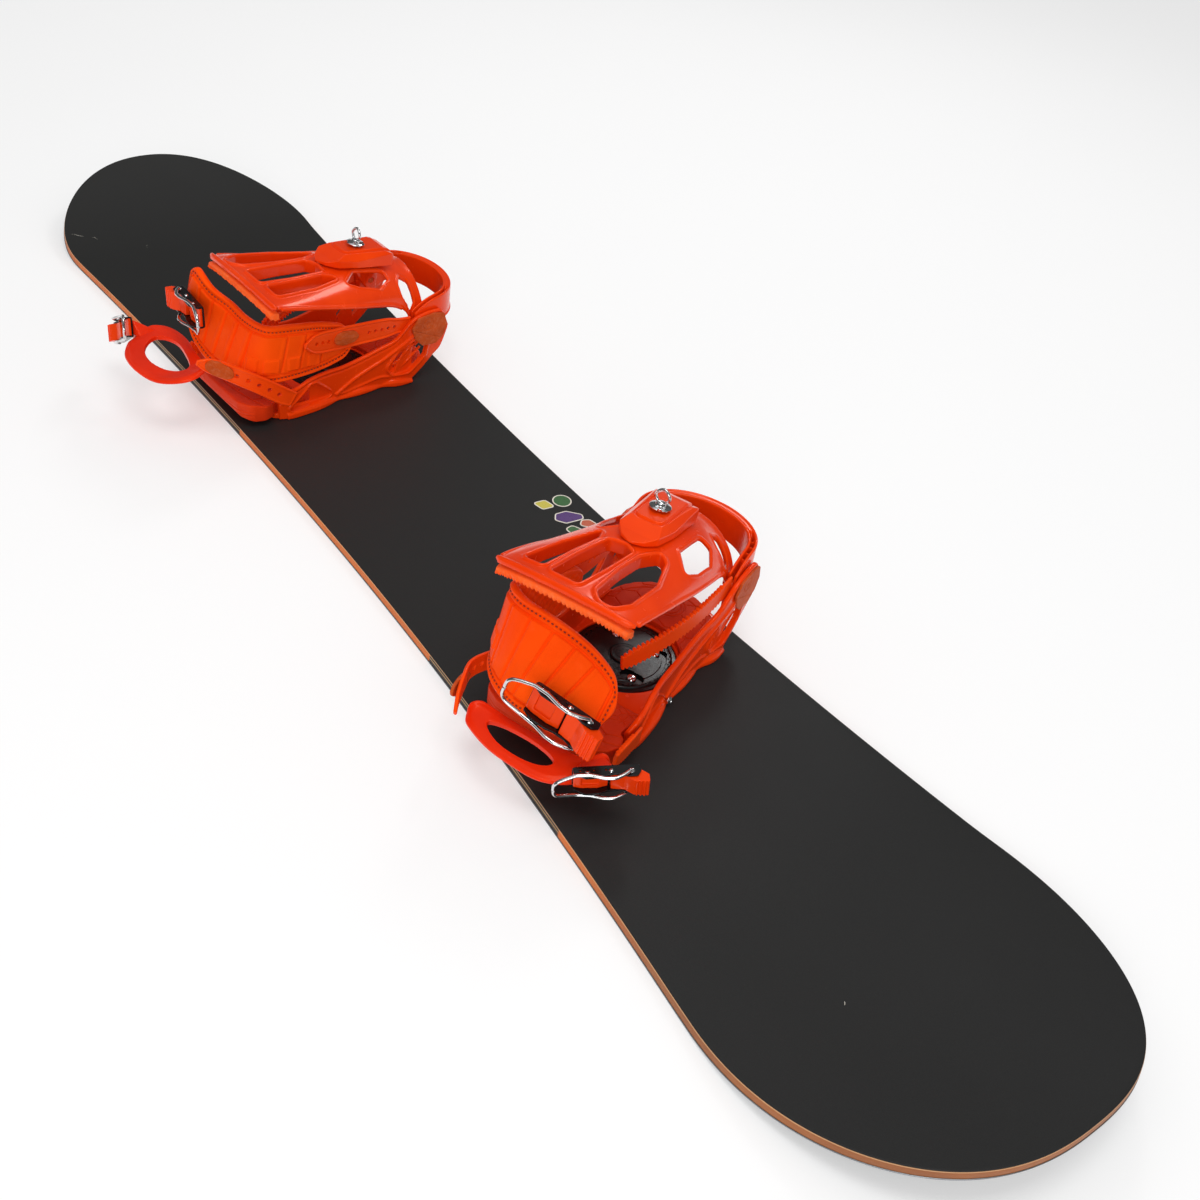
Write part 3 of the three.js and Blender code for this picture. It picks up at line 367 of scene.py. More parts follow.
def step_up(values, edge, soft=0.5):
    """0 below the edge and 1 above it, over a soft width."""
    t = np.clip((values - edge) / soft + 0.5, 0, 1)
    return t * t * (3 - 2 * t)


def groove(values, width, soft=0.6):
    """1 on a line where values is 0, fading out to 0 at half the width."""
    return 1 - step_up(np.abs(values), width / 2, soft)


# ------------------------------------------------------------------ materials


def linear(colour):
    """A colour written as #rrggbb in linear light."""
    parts = [int(colour[i : i + 2], 16) / 255 for i in (1, 3, 5)]
    return [c / 12.92 if c <= 0.04045 else ((c + 0.055) / 1.055) ** 2.4 for c in parts] + [1.0]


class Look:
    """A material built from nodes. Places are in metres in the row frame."""

    def __init__(self, name):
        self.material = bpy.data.materials.new(name)
        self.material.use_nodes = True
        self.tree = self.material.node_tree
        self.tree.nodes.clear()
        self.out = self.tree.nodes.new("ShaderNodeOutputMaterial")
        self.shader = self.tree.nodes.new("ShaderNodeBsdfPrincipled")
        self.link(self.shader.outputs[0], self.out.inputs[0])
        self.place = self.tree.nodes.new("ShaderNodeTexCoord").outputs["Object"]
        self.bumps = None

    def link(self, a, b):
        self.tree.links.new(a, b)

    def put(self, value, socket):
        if hasattr(value, "node"):
            self.link(value, socket)
        else:
            socket.default_value = value

    def stretched(self, scale):
        node = self.tree.nodes.new("ShaderNodeMapping")
        self.link(self.place, node.inputs["Vector"])
        node.inputs["Scale"].default_value = scale
        return node.outputs[0]

    def noise(self, scale, detail=3.0, rough=0.55, place=None):
        node = self.tree.nodes.new("ShaderNodeTexNoise")
        self.link(place or self.place, node.inputs["Vector"])
        node.inputs["Scale"].default_value = scale
        node.inputs["Detail"].default_value = detail
        node.inputs["Roughness"].default_value = rough
        return node.outputs["Fac"]

    def cells(self, scale, feature="F1", place=None):
        node = self.tree.nodes.new("ShaderNodeTexVoronoi")
        node.feature = feature
        self.link(place or self.place, node.inputs["Vector"])
        node.inputs["Scale"].default_value = scale
        return node.outputs["Distance"]

    def waves(self, scale, direction="X", distortion=0.0, place=None):
        node = self.tree.nodes.new("ShaderNodeTexWave")
        node.bands_direction = direction
        self.link(place or self.place, node.inputs["Vector"])
        node.inputs["Scale"].default_value = scale
        node.inputs["Distortion"].default_value = distortion
        return node.outputs["Fac"]

    def ramp(self, value, low, high, start=0.0, end=1.0):
        node = self.tree.nodes.new("ShaderNodeMapRange")
        node.inputs["From Min"].default_value = low
        node.inputs["From Max"].default_value = high
        node.inputs["To Min"].default_value = start
        node.inputs["To Max"].default_value = end
        self.link(value, node.inputs["Value"])
        return node.outputs[0]

    def maths(self, operation, a, b=0.0):
        node = self.tree.nodes.new("ShaderNodeMath")
        node.operation = operation
        self.put(a, node.inputs[0])
        self.put(b, node.inputs[1])
        return node.outputs[0]

    def mix(self, share, a, b):
        node = self.tree.nodes.new("ShaderNodeMix")
        node.data_type = "RGBA"
        self.put(share, node.inputs["Factor"])
        self.put(linear(a) if isinstance(a, str) else a, node.inputs["A"])
        self.put(linear(b) if isinstance(b, str) else b, node.inputs["B"])
        return node.outputs["Result"]

    def axis(self, name):
        node = self.tree.nodes.new("ShaderNodeSeparateXYZ")
        self.link(self.place, node.inputs[0])
        return node.outputs[name]

    def data(self, name):
        node = self.tree.nodes.new("ShaderNodeAttribute")
        node.attribute_name = name
        return node.outputs["Fac"]

    def bump(self, height, depth, strength=1.0):
        node = self.tree.nodes.new("ShaderNodeBump")
        node.inputs["Strength"].default_value = strength
        node.inputs["Distance"].default_value = depth
        self.link(height, node.inputs["Height"])
        if self.bumps is not None:
            self.link(self.bumps, node.inputs["Normal"])
        self.bumps = node.outputs[0]

    def done(self, colour, roughness, metallic=0.0, coat=0.0, **extra):
        shader = self.shader.inputs
        self.put(linear(colour) if isinstance(colour, str) else colour, shader["Base Color"])
        self.put(roughness, shader["Roughness"])
        self.put(metallic, shader["Metallic"])
        self.put(coat, shader["Coat Weight"])
        shader["Coat Roughness"].default_value = 0.07
        for key, value in extra.items():
            self.put(value, shader[key.replace("_", " ")])
        if self.bumps is not None:
            self.link(self.bumps, shader["Normal"])
        return self.material


WARM = (1.0, 0.22, 0.05, 1.0)


def moulded_plastic(name, light, dark, rough, coat, grain=0.00004):
    look = Look(name)
    cloud = look.noise(18, 3)
    fine = look.noise(2600, 2)
    swirl = look.noise(150, 3, 0.5)
    scratches = look.noise(110, 4, 0.7, look.stretched((7, 1, 1)))
    colour = look.mix(look.ramp(cloud, 0.35, 0.68), dark, light)
    scuffed = look.ramp(scratches, 0.70, 0.76, 0, 0.07)
    colour = look.mix(scuffed, colour, "#ff8c54")
    roughness = look.ramp(swirl, 0.3, 0.7, rough * 0.9, rough * 1.15)
    roughness = look.maths("ADD", roughness, look.maths("MULTIPLY", scuffed, 1.2))
    look.bump(fine, grain, 0.35)
    return look.done(colour, roughness, coat=coat, Specular_Tint=WARM)


def pad_fabric(name, light, dark):
    look = Look(name)
    cloud = look.noise(22, 3)
    grain = look.cells(1050)
    weave = look.noise(2400, 2)
    creases = look.noise(90, 4, 0.6)
    worn = look.ramp(look.noise(46, 4, 0.7), 0.6, 0.8, 0, 0.18)
    colour = look.mix(look.ramp(cloud, 0.3, 0.7), dark, light)
    colour = look.mix(look.maths("MULTIPLY", look.ramp(grain, 0.35, 0.0), 0.12), colour, "#8f1d04")
    colour = look.mix(worn, colour, "#ff6b33")
    look.bump(creases, 0.0004, 0.35)
    look.bump(grain, 0.00014, 0.55)
    look.bump(weave, 0.00005, 0.5)
    roughness = look.ramp(grain, 0.0, 0.6, 0.62, 0.46)
    return look.done(colour, roughness, Specular_IOR_Level=0.3, Specular_Tint=WARM)


def rubber(name, light, dark, rough):
    look = Look(name)
    cloud = look.noise(60, 4)
    fine = look.noise(1700, 3)
    dust = look.ramp(look.noise(300, 5, 0.75), 0.48, 0.72, 0, 0.22)
    colour = look.mix(look.ramp(cloud, 0.3, 0.7), dark, light)
    colour = look.mix(dust, colour, "#d89a78")
    look.bump(fine, 0.00008, 0.7)
    look.bump(look.cells(700), 0.00006, 0.5)
    roughness = look.ramp(fine, 0.3, 0.7, rough * 0.9, rough * 1.1)
    return look.done(colour, roughness, Specular_IOR_Level=0.3, Specular_Tint=WARM)


def make_materials():
    looks = {}
    looks["orange_plastic"] = moulded_plastic("orange_plastic", "#f34106", "#e83804", 0.24, 0.2)
    looks["red_orange_plastic"] = moulded_plastic("red_orange_plastic", "#ef2f0c", "#dd2508", 0.32, 0.1)
    looks["strap_orange"] = moulded_plastic("strap_orange", "#fb4c0c", "#f24208", 0.42, 0.05, 0.0001)
    looks["soft_orange"] = pad_fabric("soft_orange", "#e03a12", "#c42c0c")
    looks["pad_fabric"] = pad_fabric("pad_fabric", "#ff5008", "#f74405")
    looks["pale_rubber"] = rubber("pale_rubber", "#ff6a2a", "#f9571c", 0.62)
    looks["dusty_rubber"] = rubber("dusty_rubber", "#c8501e", "#b24216", 0.6)

    look = Look("black_plastic")
    swirl = look.noise(190, 4, 0.6)
    look.bump(look.noise(2300, 2), 0.00003, 0.4)
    worn = look.ramp(look.noise(60, 3, 0.5), 0.5, 0.8, 0, 0.5)
    colour = look.mix(worn, "#0c0c0d", "#1b1b1d")
    rough = look.ramp(swirl, 0.3, 0.7, 0.16, 0.24)
    looks["black_plastic"] = look.done(colour, rough, Specular_IOR_Level=0.35)

    look = Look("chrome")
    brushed = look.noise(900, 3, 0.6, look.stretched((1, 6, 2)))
    spots = look.noise(140, 4, 0.6)
    look.bump(brushed, 0.00002, 0.4)
    colour = look.mix(look.ramp(spots, 0.45, 0.75), "#e2e4e6", "#b4b2ae")
    looks["chrome"] = look.done(colour, look.ramp(spots, 0.3, 0.8, 0.07, 0.24), 1.0)

    look = Look("edge_steel")
    brushed = look.noise(30, 4, 0.6, look.stretched((1, 60, 60)))
    rust = look.ramp(look.noise(26, 5, 0.7), 0.6, 0.78, 0, 0.5)
    look.bump(brushed, 0.00005, 0.5)
    colour = look.mix(rust, "#9a9da1", "#7b6048")
    rough = look.ramp(brushed, 0.3, 0.7, 0.28, 0.46)
    looks["edge_steel"] = look.done(colour, rough, look.maths("SUBTRACT", 1.0, rust))

    look = Look("topsheet")
    grain = look.noise(1500, 3, 0.6)
    weave = look.cells(2200)
    cloud = look.noise(5, 3)
    hair = look.noise(26, 4, 0.7, look.stretched((1.2, 34, 1)))
    scratch = look.ramp(hair, 0.71, 0.76, 0, 0.35)
    dust = look.ramp(look.noise(900, 2, 0.5), 0.70, 0.78, 0, 0.25)
    tone = look.ramp(look.axis("X"), -0.7, 0.75, 0.0, 1.0)
    colour = look.mix(tone, "#242423", "#191919")
    colour = look.mix(look.ramp(cloud, 0.3, 0.7, 0, 0.3), colour, "#1e1e1e")
    colour = look.mix(look.ramp(grain, 0.35, 0.7, 0, 0.35), colour, "#2c2c2b")
    colour = look.mix(look.maths("MULTIPLY", scratch, 0.3), colour, "#434342")
    colour = look.mix(dust, colour, "#3d3d3c")
    look.bump(grain, 0.00008, 0.5)
    look.bump(weave, 0.00004, 0.4)
    rough = look.ramp(cloud, 0.3, 0.7, 0.5, 0.6)
    looks["topsheet"] = look.done(colour, rough, Specular_IOR_Level=0.3)

    look = Look("base_black")
    lines = look.noise(14, 3, 0.6, look.stretched((1, 90, 1)))
    cloud = look.noise(9, 4)
    look.bump(lines, 0.00006, 0.6)
    colour = look.mix(look.ramp(cloud, 0.3, 0.75), "#1a1b1d", "#26272a")
    colour = look.mix(look.ramp(lines, 0.55, 0.75, 0, 0.4), colour, "#3a3b3e")
    looks["base_black"] = look.done(colour, look.ramp(lines, 0.3, 0.7, 0.34, 0.5))

    looks["sidewall_orange"] = sidewall_look()

    look = Look("poplar")
    rings = look.waves(9, "Y", 6.0, look.stretched((0.4, 12, 4)))
    pores = look.noise(60, 4, 0.6, look.stretched((1, 30, 30)))
    colour = look.mix(look.ramp(rings, 0.2, 0.9), "#cfae7c", "#a9824f")
    colour = look.mix(look.ramp(pores, 0.55, 0.75, 0, 0.4), colour, "#8a6436")
    look.bump(pores, 0.0001, 0.5)
    looks["poplar"] = look.done(colour, look.ramp(pores, 0.3, 0.7, 0.6, 0.8))

    for name, light, dark in (
        ("sticker_pale", "#e9e4d6", "#d6d0c0"),
        ("sticker_green", "#3b6a3a", "#2c522d"),
        ("sticker_yellow", "#cfc351", "#b9ac3c"),
        ("sticker_purple", "#5a3a7a", "#472b63"),
        ("sticker_coral", "#c7603f", "#b04d2f"),
        ("thread", "#8f1a06", "#6e1204"),
    ):
        look = Look(name)
        worn = look.ramp(look.noise(420, 5, 0.7), 0.5, 0.72)
        look.bump(look.noise(1500, 2), 0.00003, 0.5)
        looks[name] = look.done(look.mix(worn, light, dark), look.ramp(worn, 0, 1, 0.34, 0.52))
    return looks


def sidewall_look():
    """Orange sides, dark beside the bindings on the toe edge, copper brown round the ends; painted highlight
    on the top edge.
    """
    look = Look("sidewall_orange")
    along, over, height = look.axis("X"), look.axis("Y"), look.data("share_up")
    streaks = look.noise(22, 4, 0.6, look.stretched((1, 8, 60)))
    cloud = look.noise(12, 3)
    orange = look.mix(look.ramp(cloud, 0.3, 0.7), "#d9701f", "#c66020")
    copper = look.mix(look.ramp(cloud, 0.3, 0.7), "#9c6236", "#80502c")
    ends = look.maths("MAXIMUM", look.ramp(along, 0.40, 0.52), look.ramp(along, -0.60, -0.70))
    colour = look.mix(look.maths("MULTIPLY", ends, 0.85), orange, copper)
    for start, end in ((0.172, 0.387), (-0.417, -0.206)):
        after, before = look.ramp(along, start, start + 0.002), look.ramp(along, end, end - 0.002)
        inside = look.maths("MULTIPLY", after, before)
        inside = look.maths("MULTIPLY", inside, look.ramp(over, 0.01, -0.01))
        brass = look.maths("MULTIPLY", look.ramp(height, 0.50, 0.54), look.ramp(height, 0.72, 0.68))
        dark = look.mix(brass, "#251d18", "#a9834f")
        colour = look.mix(inside, colour, dark)
    # painted highlight: a pale warm line along the sidewall's rounded top edge, standing in for light caught
    # there
    painted_edge_highlight = look.ramp(height, 0.90, 0.94)
    colour = look.mix(look.maths("MULTIPLY", painted_edge_highlight, 0.6), colour, "#e9b98a")
    colour = look.mix(look.ramp(streaks, 0.55, 0.75, 0, 0.3), colour, "#8d4c20")
    look.bump(streaks, 0.0001, 0.5)
    look.bump(look.noise(1800, 2), 0.00005, 0.5)
    return look.done(colour, look.ramp(streaks, 0.3, 0.7, 0.4, 0.58), Specular_IOR_Level=0.4)


LOOKS = make_materials()


def frame_matrix(columns, origin):
    """The matrix that takes the three axes to columns and the origin to origin."""
    rows = [[*(c[k] for c in columns), origin[k]] for k in range(3)]
    return Matrix([*rows, [0, 0, 0, 1]])


# ------------------------------------------------------------------ putting pieces into place


def middle(node):
    low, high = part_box(node)
    return (low + high) / 2


def binding_matrix(kind):
    """The binding's own frame, read from the disc and its four screws."""
    screws = [middle(f"{kind}_disc_screw_{i}") for i in (1, 2, 3, 4)]
    toe = (screws[0] + screws[1] - screws[2] - screws[3]).normalized()
    out = (screws[0] + screws[2] - screws[1] - screws[3]).normalized()
    centre = middle(f"{kind}_disc")
    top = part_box("topsheet")[0].z + 0.00096
    return frame_matrix([toe * MM, out * MM, Vector((0, 0, MM))], (centre.x, centre.y, top))


KINDS = ("front", "rear")
FRAMES = {kind: binding_matrix(kind) for kind in KINDS}


def finish_mesh(obj, name, look, sharp=None):
    obj.name = name
    obj.data.name = name
    obj.data.materials.clear()
    obj.data.materials.append(LOOKS[look])
    obj.data.polygons.foreach_set("use_smooth", [True] * len(obj.data.polygons))
    if sharp is not None:
        obj.data.set_sharp_from_angle(angle=math.radians(sharp))
    obj.data.update()


def place(obj, kind, name, body, look, nodes=(), sharp=None):
    """Moves a piece drawn in its binding's frame into the row frame, to ride on a body."""
    moved(obj, FRAMES[kind])
    finish_mesh(obj, f"{kind}_{name}", look, sharp)
    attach(obj, "board" if body == "board" else f"{kind}_{body}")
    if nodes:
        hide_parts(*[f"{kind}_{node}" for node in nodes])
    return obj


def place_both(obj, name, body, look, nodes=(), sharp=None):
    twin = bpy.data.objects.new("work", obj.data.copy())
    scene.collection.objects.link(twin)
    place(obj, "front", name, body, look, nodes, sharp)
    place(twin, "rear", name, body, look, nodes, sharp)


# ------------------------------------------------------------------ board

HALF_LENGTH = 775
WAIST = 124.1
NOSE = {"half": 156.5, "tip": 207, "power": 2.41, "lift": 41}
TAIL = {"half": 149.0, "tip": 167, "power": 2.1, "lift": 42}
RISE_LEAD = 0.15


def lift(x):
    end = NOSE if x > 0 else TAIL
    lead = RISE_LEAD * end["tip"]
    share = (abs(x) - (HALF_LENGTH - end["tip"]) + lead) / (end["tip"] + lead)
    return end["lift"] * min(max(share, 0), 1) ** 2


def half_width(x):
    end = NOSE if x > 0 else TAIL
    contact = HALF_LENGTH - end["tip"]
    far = abs(x)
    if far <= contact:
        return WAIST + (end["half"] - WAIST) * (far / contact) ** 2
    u = min((far - contact) / end["tip"], 1)
    slope = 2 * (end["half"] - WAIST) / contact * end["tip"]
    return (end["half"] + slope * u * (1 - u) ** 2) * (1 - u ** end["power"]) ** (1 / end["power"])


def board_outline(tip_steps=60, middle_steps=90):
    """Points round the board, from the tail's end along the heel side and back."""
    xs = []
    tail, nose = HALF_LENGTH - TAIL["tip"], HALF_LENGTH - NOSE["tip"]
    for i in range(tip_steps):
        xs.append(-HALF_LENGTH + TAIL["tip"] * (1 - math.cos(math.pi / 2 * i / tip_steps)))
    for i in range(middle_steps):
        xs.append(-tail + (tail + nose) * i / middle_steps)
    for i in range(tip_steps + 1):
        xs.append(nose + NOSE["tip"] * math.sin(math.pi / 2 * i / tip_steps))
    upper = [(x, half_width(x)) for x in xs]
    lower = [(x, -y) for x, y in upper[-2:0:-1]]
    return upper, lower


UPPER, LOWER = board_outline()
OUTLINE = np.array(UPPER + LOWER)


def inset(distance):
    """The board's outline moved inwards."""
    return np.array(grow(OUTLINE, -distance))


def board_slab(rows):
    """A full layer. Rows (inset, height) run from its underside's edge to its top's edge."""
    loops = []
    for distance, height in rows:
        line = inset(distance)
        loops.append([(x, y, lift(x) + height) for x, y in line])
    loops = np.array(loops)
    count = loops.shape[1]
    half = len(UPPER)
    faces = []
    for k in range(len(rows) - 1):
        for i in range(count):
            n = (i + 1) % count
            faces.append((k * count + i, k * count + n, (k + 1) * count + n, (k + 1) * count + i))
    verts = loops.reshape(-1, 3).tolist()
    crosswise = 6
    for k in (0, len(rows) - 1):
        start = k * count
        previous = None
        for i in range(1, half - 1):
            a, b = start + i, start + (count - i)
            strip = [a]
            pa, pb = np.array(verts[a]), np.array(verts[b])
            for j in range(1, crosswise):
                verts.append((pa + (pb - pa) * j / crosswise).tolist())
                strip.append(len(verts) - 1)
            strip.append(b)
            if previous is None:
                faces += [(start, strip[j], strip[j + 1]) for j in range(crosswise)]
            else:
                faces += [(previous[j], strip[j], strip[j + 1], previous[j + 1]) for j in range(crosswise)]
            previous = strip
        end = start + half - 1
        faces += [(end, previous[j + 1], previous[j]) for j in range(crosswise)]
    return mesh_object(verts, faces)


def board_ring(rows):
    """A frame round the board. Rows (inset, height) go once round its section."""
    sections = []
    lines = [inset(distance) for distance, _ in rows]
    for i in range(len(OUTLINE)):
        section = []
        for line, (_, height) in zip(lines, rows):
            x, y = line[i]
            section.append((x, y, lift(x) + height))
        sections.append(section)
    return loft(sections, closed=True)


def place_board(obj, name, look, nodes, sharp=40):
    moved(obj, Matrix.Scale(MM, 4))
    finish_mesh(obj, name, look, sharp)
    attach(obj, "board")
    if nodes:
        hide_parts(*nodes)
    return obj


def board_edge_heights(obj, low, high):
    """Stores how far up the sidewall each point lies, from 0 to 1."""
    share = [(v.co.z / MM - lift(v.co.x / MM) - low) / (high - low) for v in obj.data.vertices]
    layer = obj.data.attributes.new("share_up", "FLOAT", "POINT")
    layer.data.foreach_set("value", np.array(share, np.float32))


def make_board():
    base = board_slab([(2.5, 0), (2.04, 0.25), (2.04, 1.4)])
    place_board(base, "board_base_sheet", "base_black", ["board_base"])
    edge = board_ring([(0.25, 0), (0.0, 0.25), (0.0, 1.15), (0.25, 1.4), (2.0, 1.4), (2.0, 0)])
    place_board(edge, "board_steel_edge", "edge_steel", ["steel_edge"])
    wall = board_ring([
        (0.55, 1.44), (0.5, 2.6), (0.55, 4.0), (0.7, 5.6), (0.95, 7.1), (1.25, 8.0), (7.6, 8.0),
        (7.6, 1.44),
    ])
    wall = place_board(wall, "board_sidewall", "sidewall_orange", ["sidewall"], 60)
    board_edge_heights(wall, 1.44, 8.0)
    skin = board_slab([(1.6, 8.04), (1.45, 8.35), (1.6, 8.75), (2.1, 8.93), (3.0, 9.0)])
    place_board(skin, "board_topsheet", "topsheet", ["topsheet"], 60)
    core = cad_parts["wood_core"]
    core.data.materials.clear()
    core.data.materials.append(LOOKS["poplar"])


def sticker_shape(outline, look, name, low=9.0, thick=0.12):
    obj = prism(outline, low, low + thick)
    return place_board(obj, name, look, [])


def make_stickers():
    """A strip of plain coloured shapes with pale outlines beside the front binding."""
    def turned(points, centre, angle):
        c, s = math.cos(angle), math.sin(angle)
        return [(centre[0] + x * c - y * s, centre[1] + x * s + y * c) for x, y in points]

    lozenge = soften([(-10, 0), (0, -7), (10, 0), (0, 7)], 2.5)
    disc = ring(8.5, 40)
    drop = soften([(-13, -5), (-3, -9), (14, -1), (13, 5), (-2, 9), (-12, 4)], 3)
    bean = soften([(-8, -4), (3, -6), (9, 0), (4, 6), (-7, 4)], 3)
    arc = soften([(-7, -4), (6, -5), (8, 1), (1, 6), (-6, 4)], 3)
    shapes = [
        (lozenge, (38, 82), 0.85, "sticker_yellow", "sticker_lozenge"),
        (disc, (40.5, 102), 0.0, "sticker_green", "sticker_dot"),
        (drop, (66, 92.5), 1.05, "sticker_purple", "sticker_pebble"),
        (bean, (87, 86), 0.3, "sticker_green", "sticker_bean"),
        (arc, (83, 104), 0.9, "sticker_coral", "sticker_patch"),
    ]
    for outline, centre, angle, look, name in shapes:
        sticker_shape(turned(grow(outline, 1.3), centre, angle), "sticker_pale", name + "_rim", 9.0, 0.10)
        sticker_shape(turned(outline, centre, angle), look, name, 9.0, 0.2)


def make_scuffs():
    """A few hair scratches in the topsheet near the tail."""
    lines = [
        ((-661, -136), (-650, -122), 0.5), ((-652, -116), (-640, -110), 0.35),
        ((-620, -60), (-604, -66), 0.3), ((-560, 10), (-548, 22), 0.3), ((612, -54), (615, -57), 0.6),
    ]
    bodies = []
    for (x0, y0), (x1, y1), wide in lines:
        path, radii = [], []
        for t in np.linspace(0, 1, 12):
            x = x0 + (x1 - x0) * t
            path.append((x, y0 + (y1 - y0) * t + math.sin(t * 3) * 0.6, lift(x) + 8.98))
            radii.append(wide * (0.25 + math.sin(math.pi * t)) * 0.4)
        bodies.append(bar(path, radii, sides=6, flat=0.18, flat_along=(0, 0, 1)))
    place_board(merge(*bodies), "board_scuffs", "sticker_pale", [])


# ------------------------------------------------------------------ baseplate

PIVOT = (-84, 68)
WALL_LINE = [
    [-112, 62.8, 56, 60], [-104, 63, 36, 78], [-94, 63, 27, 81], [-80, 63, 14, 80],
    [-64, 62.6, 3, 74], [-48, 60, 0.3, 56.5], [-30, 57, 0.3, 49], [-8, 55.6, 0.3, 43],
    [15, 55.6, 0.3, 39], [35, 56.6, 0.3, 39], [55, 59, 0.3, 38], [72, 61.6, 0.3, 34],
    [84, 62, 0.3, 31], [93, 59, 0.3, 22],
]
FOOT_LINE = [
    [-68, 65, 5], [-56, 65.5, 7], [-46, 64, 8], [-36, 59.5, 7], [-30, 58, 6], [-22, 59, 6],
    [-5, 60, 7], [12, 58.6, 6], [22, 57.6, 5.5], [34, 61, 7], [50, 64, 8], [75, 65, 9], [86, 64, 8],
]
WINDOW = [(-82, 30), (-62, 14), (-44, 14), (-38, 22), (-52, 42), (-74, 54), (-86, 46)]
POCKET = [(24, 9), (80, 8), (84, 12), (56, 31), (50, 31)]


def wall_out(u):
    return smooth_row(WALL_LINE, min(max(u, -112), 93))[0]


def side_wall(side):
    sections = []
    for u, out, low, high in stations(WALL_LINE, 70):
        floor = max(low, 0.3)
        inside = out - 4
        rail = min(6.0, (high - floor) * 0.3)
        sections.append([
            (u, side * inside, floor), (u, side * out, floor), (u, side * out, high - rail),
            (u, side * (out - 1.3), high - rail * 0.75), (u, side * (out + 0.7), high - rail * 0.45),
            (u, side * (out + 0.8), high - 1.2), (u, side * (out - 0.6), high + 0.2),
            (u, side * (inside + 0.8), high), (u, side * inside, high - 1),
        ])
    return loft(sections)


def side_foot(side):
    sections = []
    for u, out, high in stations(FOOT_LINE, 50):
        sections.append([
            (u, side * 54, 0.3), (u, side * (out - 0.6), 0.3), (u, side * out, 1.2),
            (u, side * out, high - 3), (u, side * (out - 1.6), high - 0.8), (u, side * (out - 3.4), high),
            (u, side * 54, high + 2.5),
        ])
    return loft(sections)


def on_wall(outline, side, lift_off, step=1.5):
    """A line on the side wall's outer face."""
    line = resample(soften(outline, 6), step)
    return [(u, side * (wall_out(u) + lift_off), z) for u, z in line]


def base_outline():
    return soften([
        (-72, -55), (-20, -53), (15, -53), (60, -57), (88, -60), (97, -54), (105, -41),
        (105, 41), (97, 54), (88, 60), (60, 57), (15, 53), (-20, 53), (-72, 55), (-84, 50),
        (-98, 38), (-107, 20), (-110, 0), (-107, -20), (-98, -38), (-84, -50),
    ], 8)


def make_base():
    base = prism(base_outline(), 0.3, 6)
    parts = []
    for side in (-1, 1):
        parts += [side_wall(side), side_foot(side)]
        crest = smooth_line([(25, 8), (0, 21), (-31, 33), (-58, 50), (-74, 62)], 2, 4)
        parts.append(bar([(u, side * (wall_out(u) + 0.2), z) for u, z in crest], 2.1, sides=8))
        under = smooth_line([(24, 8), (12, 7), (-8, 10), (-30, 14), (-44, 12)], 2, 4)
        parts.append(bar([(u, side * (wall_out(u) + 0.1), z) for u, z in under], 1.5, sides=8))
        parts.append(bar(on_wall(grow(WINDOW, 1.4), side, 0.1), 2.0, True, 8))
        parts.append(bar(on_wall(grow(POCKET, 1.0), side, 0.0), 1.5, True, 8))
    base = join(base, *parts)
    tools = []
    ribs = []
    for side in (-1, 1):
        def span(inner, outer):
            return (inner, outer) if side > 0 else (-outer, -inner)
        near, far = span(59.4, 72)
        tools.append(across(soften(WINDOW, 6), near, far))
        near, far = span(56.4, 72)
        tools.append(across(soften([(u, z) for u, z in WINDOW if u > -60] + [(-58, 40)], 5), near, far))
        near, far = span(55.2, 72)
        tools.append(across(soften(POCKET, 5), near, far))
        tools.append(lathe_across(3.1, side * 50, side * 72))
        for start, end in (((-78, 40), (-52, 18)), ((-70, 46), (-46, 24)), ((-62, 46), (-42, 28))):
            line = np.linspace(start, end, 12)
            ribs.append(bar([(u, side * (wall_out(u) - 2.6), z) for u, z in line], 1.1, sides=8))
    base = cut(base, *tools)
    base = join(base, *ribs)
    base = cut(base, prism(ring(46.6, 96), -1, 9))
    base = mould(base, 0.62, 5)
    place_both(base, "baseplate_shell", "base", "orange_plastic", ["baseplate"])


def lathe_across(radius, start, end, centre=PIVOT, sides=32):
    low, high = min(start, end), max(start, end)
    return across(ring(radius, sides, centre), low, high)


# ------------------------------------------------------------------ disc, pads under the boot


def make_disc():
    profile = [
        (0, 0.4), (45.2, 0.4), (46, 1.0), (46, 4.6), (45.2, 5.4), (42.4, 5.6), (41.4, 6.6), (40.6, 7.0),
        (37.5, 7.0), (36.9, 6.3), (33.6, 6.3), (33.0, 7.0), (13.6, 7.0), (13.0, 6.2), (12.4, 6.2),
        (12.0, 7.6), (11.3, 8.2), (9.6, 8.2), (9.2, 7.8), (7.4, 7.8), (7.0, 8.2), (0, 8.2),
    ]
    disc = lathe(profile[1:] + [(0.01, 8.2)], sides=120)
    tools = []
    for x in (-20, 20):
        for y in (-20, 20):
            slot = soften([(x - 6, y - 11), (x + 6, y - 11), (x + 6, y + 11), (x - 6, y + 11)], 5.9)
            tools.append(prism(slot, 4.0, 12))
    for k in range(36):
        t = k * math.pi / 18
        tools.append(prism(ring(1.0, 8, (39.1 * math.cos(t), 39.1 * math.sin(t))), 6.2, 9))
    for k in range(8):
        t = k * math.pi / 4
        tools.append(prism(ring(0.9, 8, (4.6 * math.cos(t), 4.6 * math.sin(t))), 7.7, 9))
    disc = cut(disc, *tools)
    place_both(disc, "disc_plate", "board", "black_plastic", ["disc"], 32)


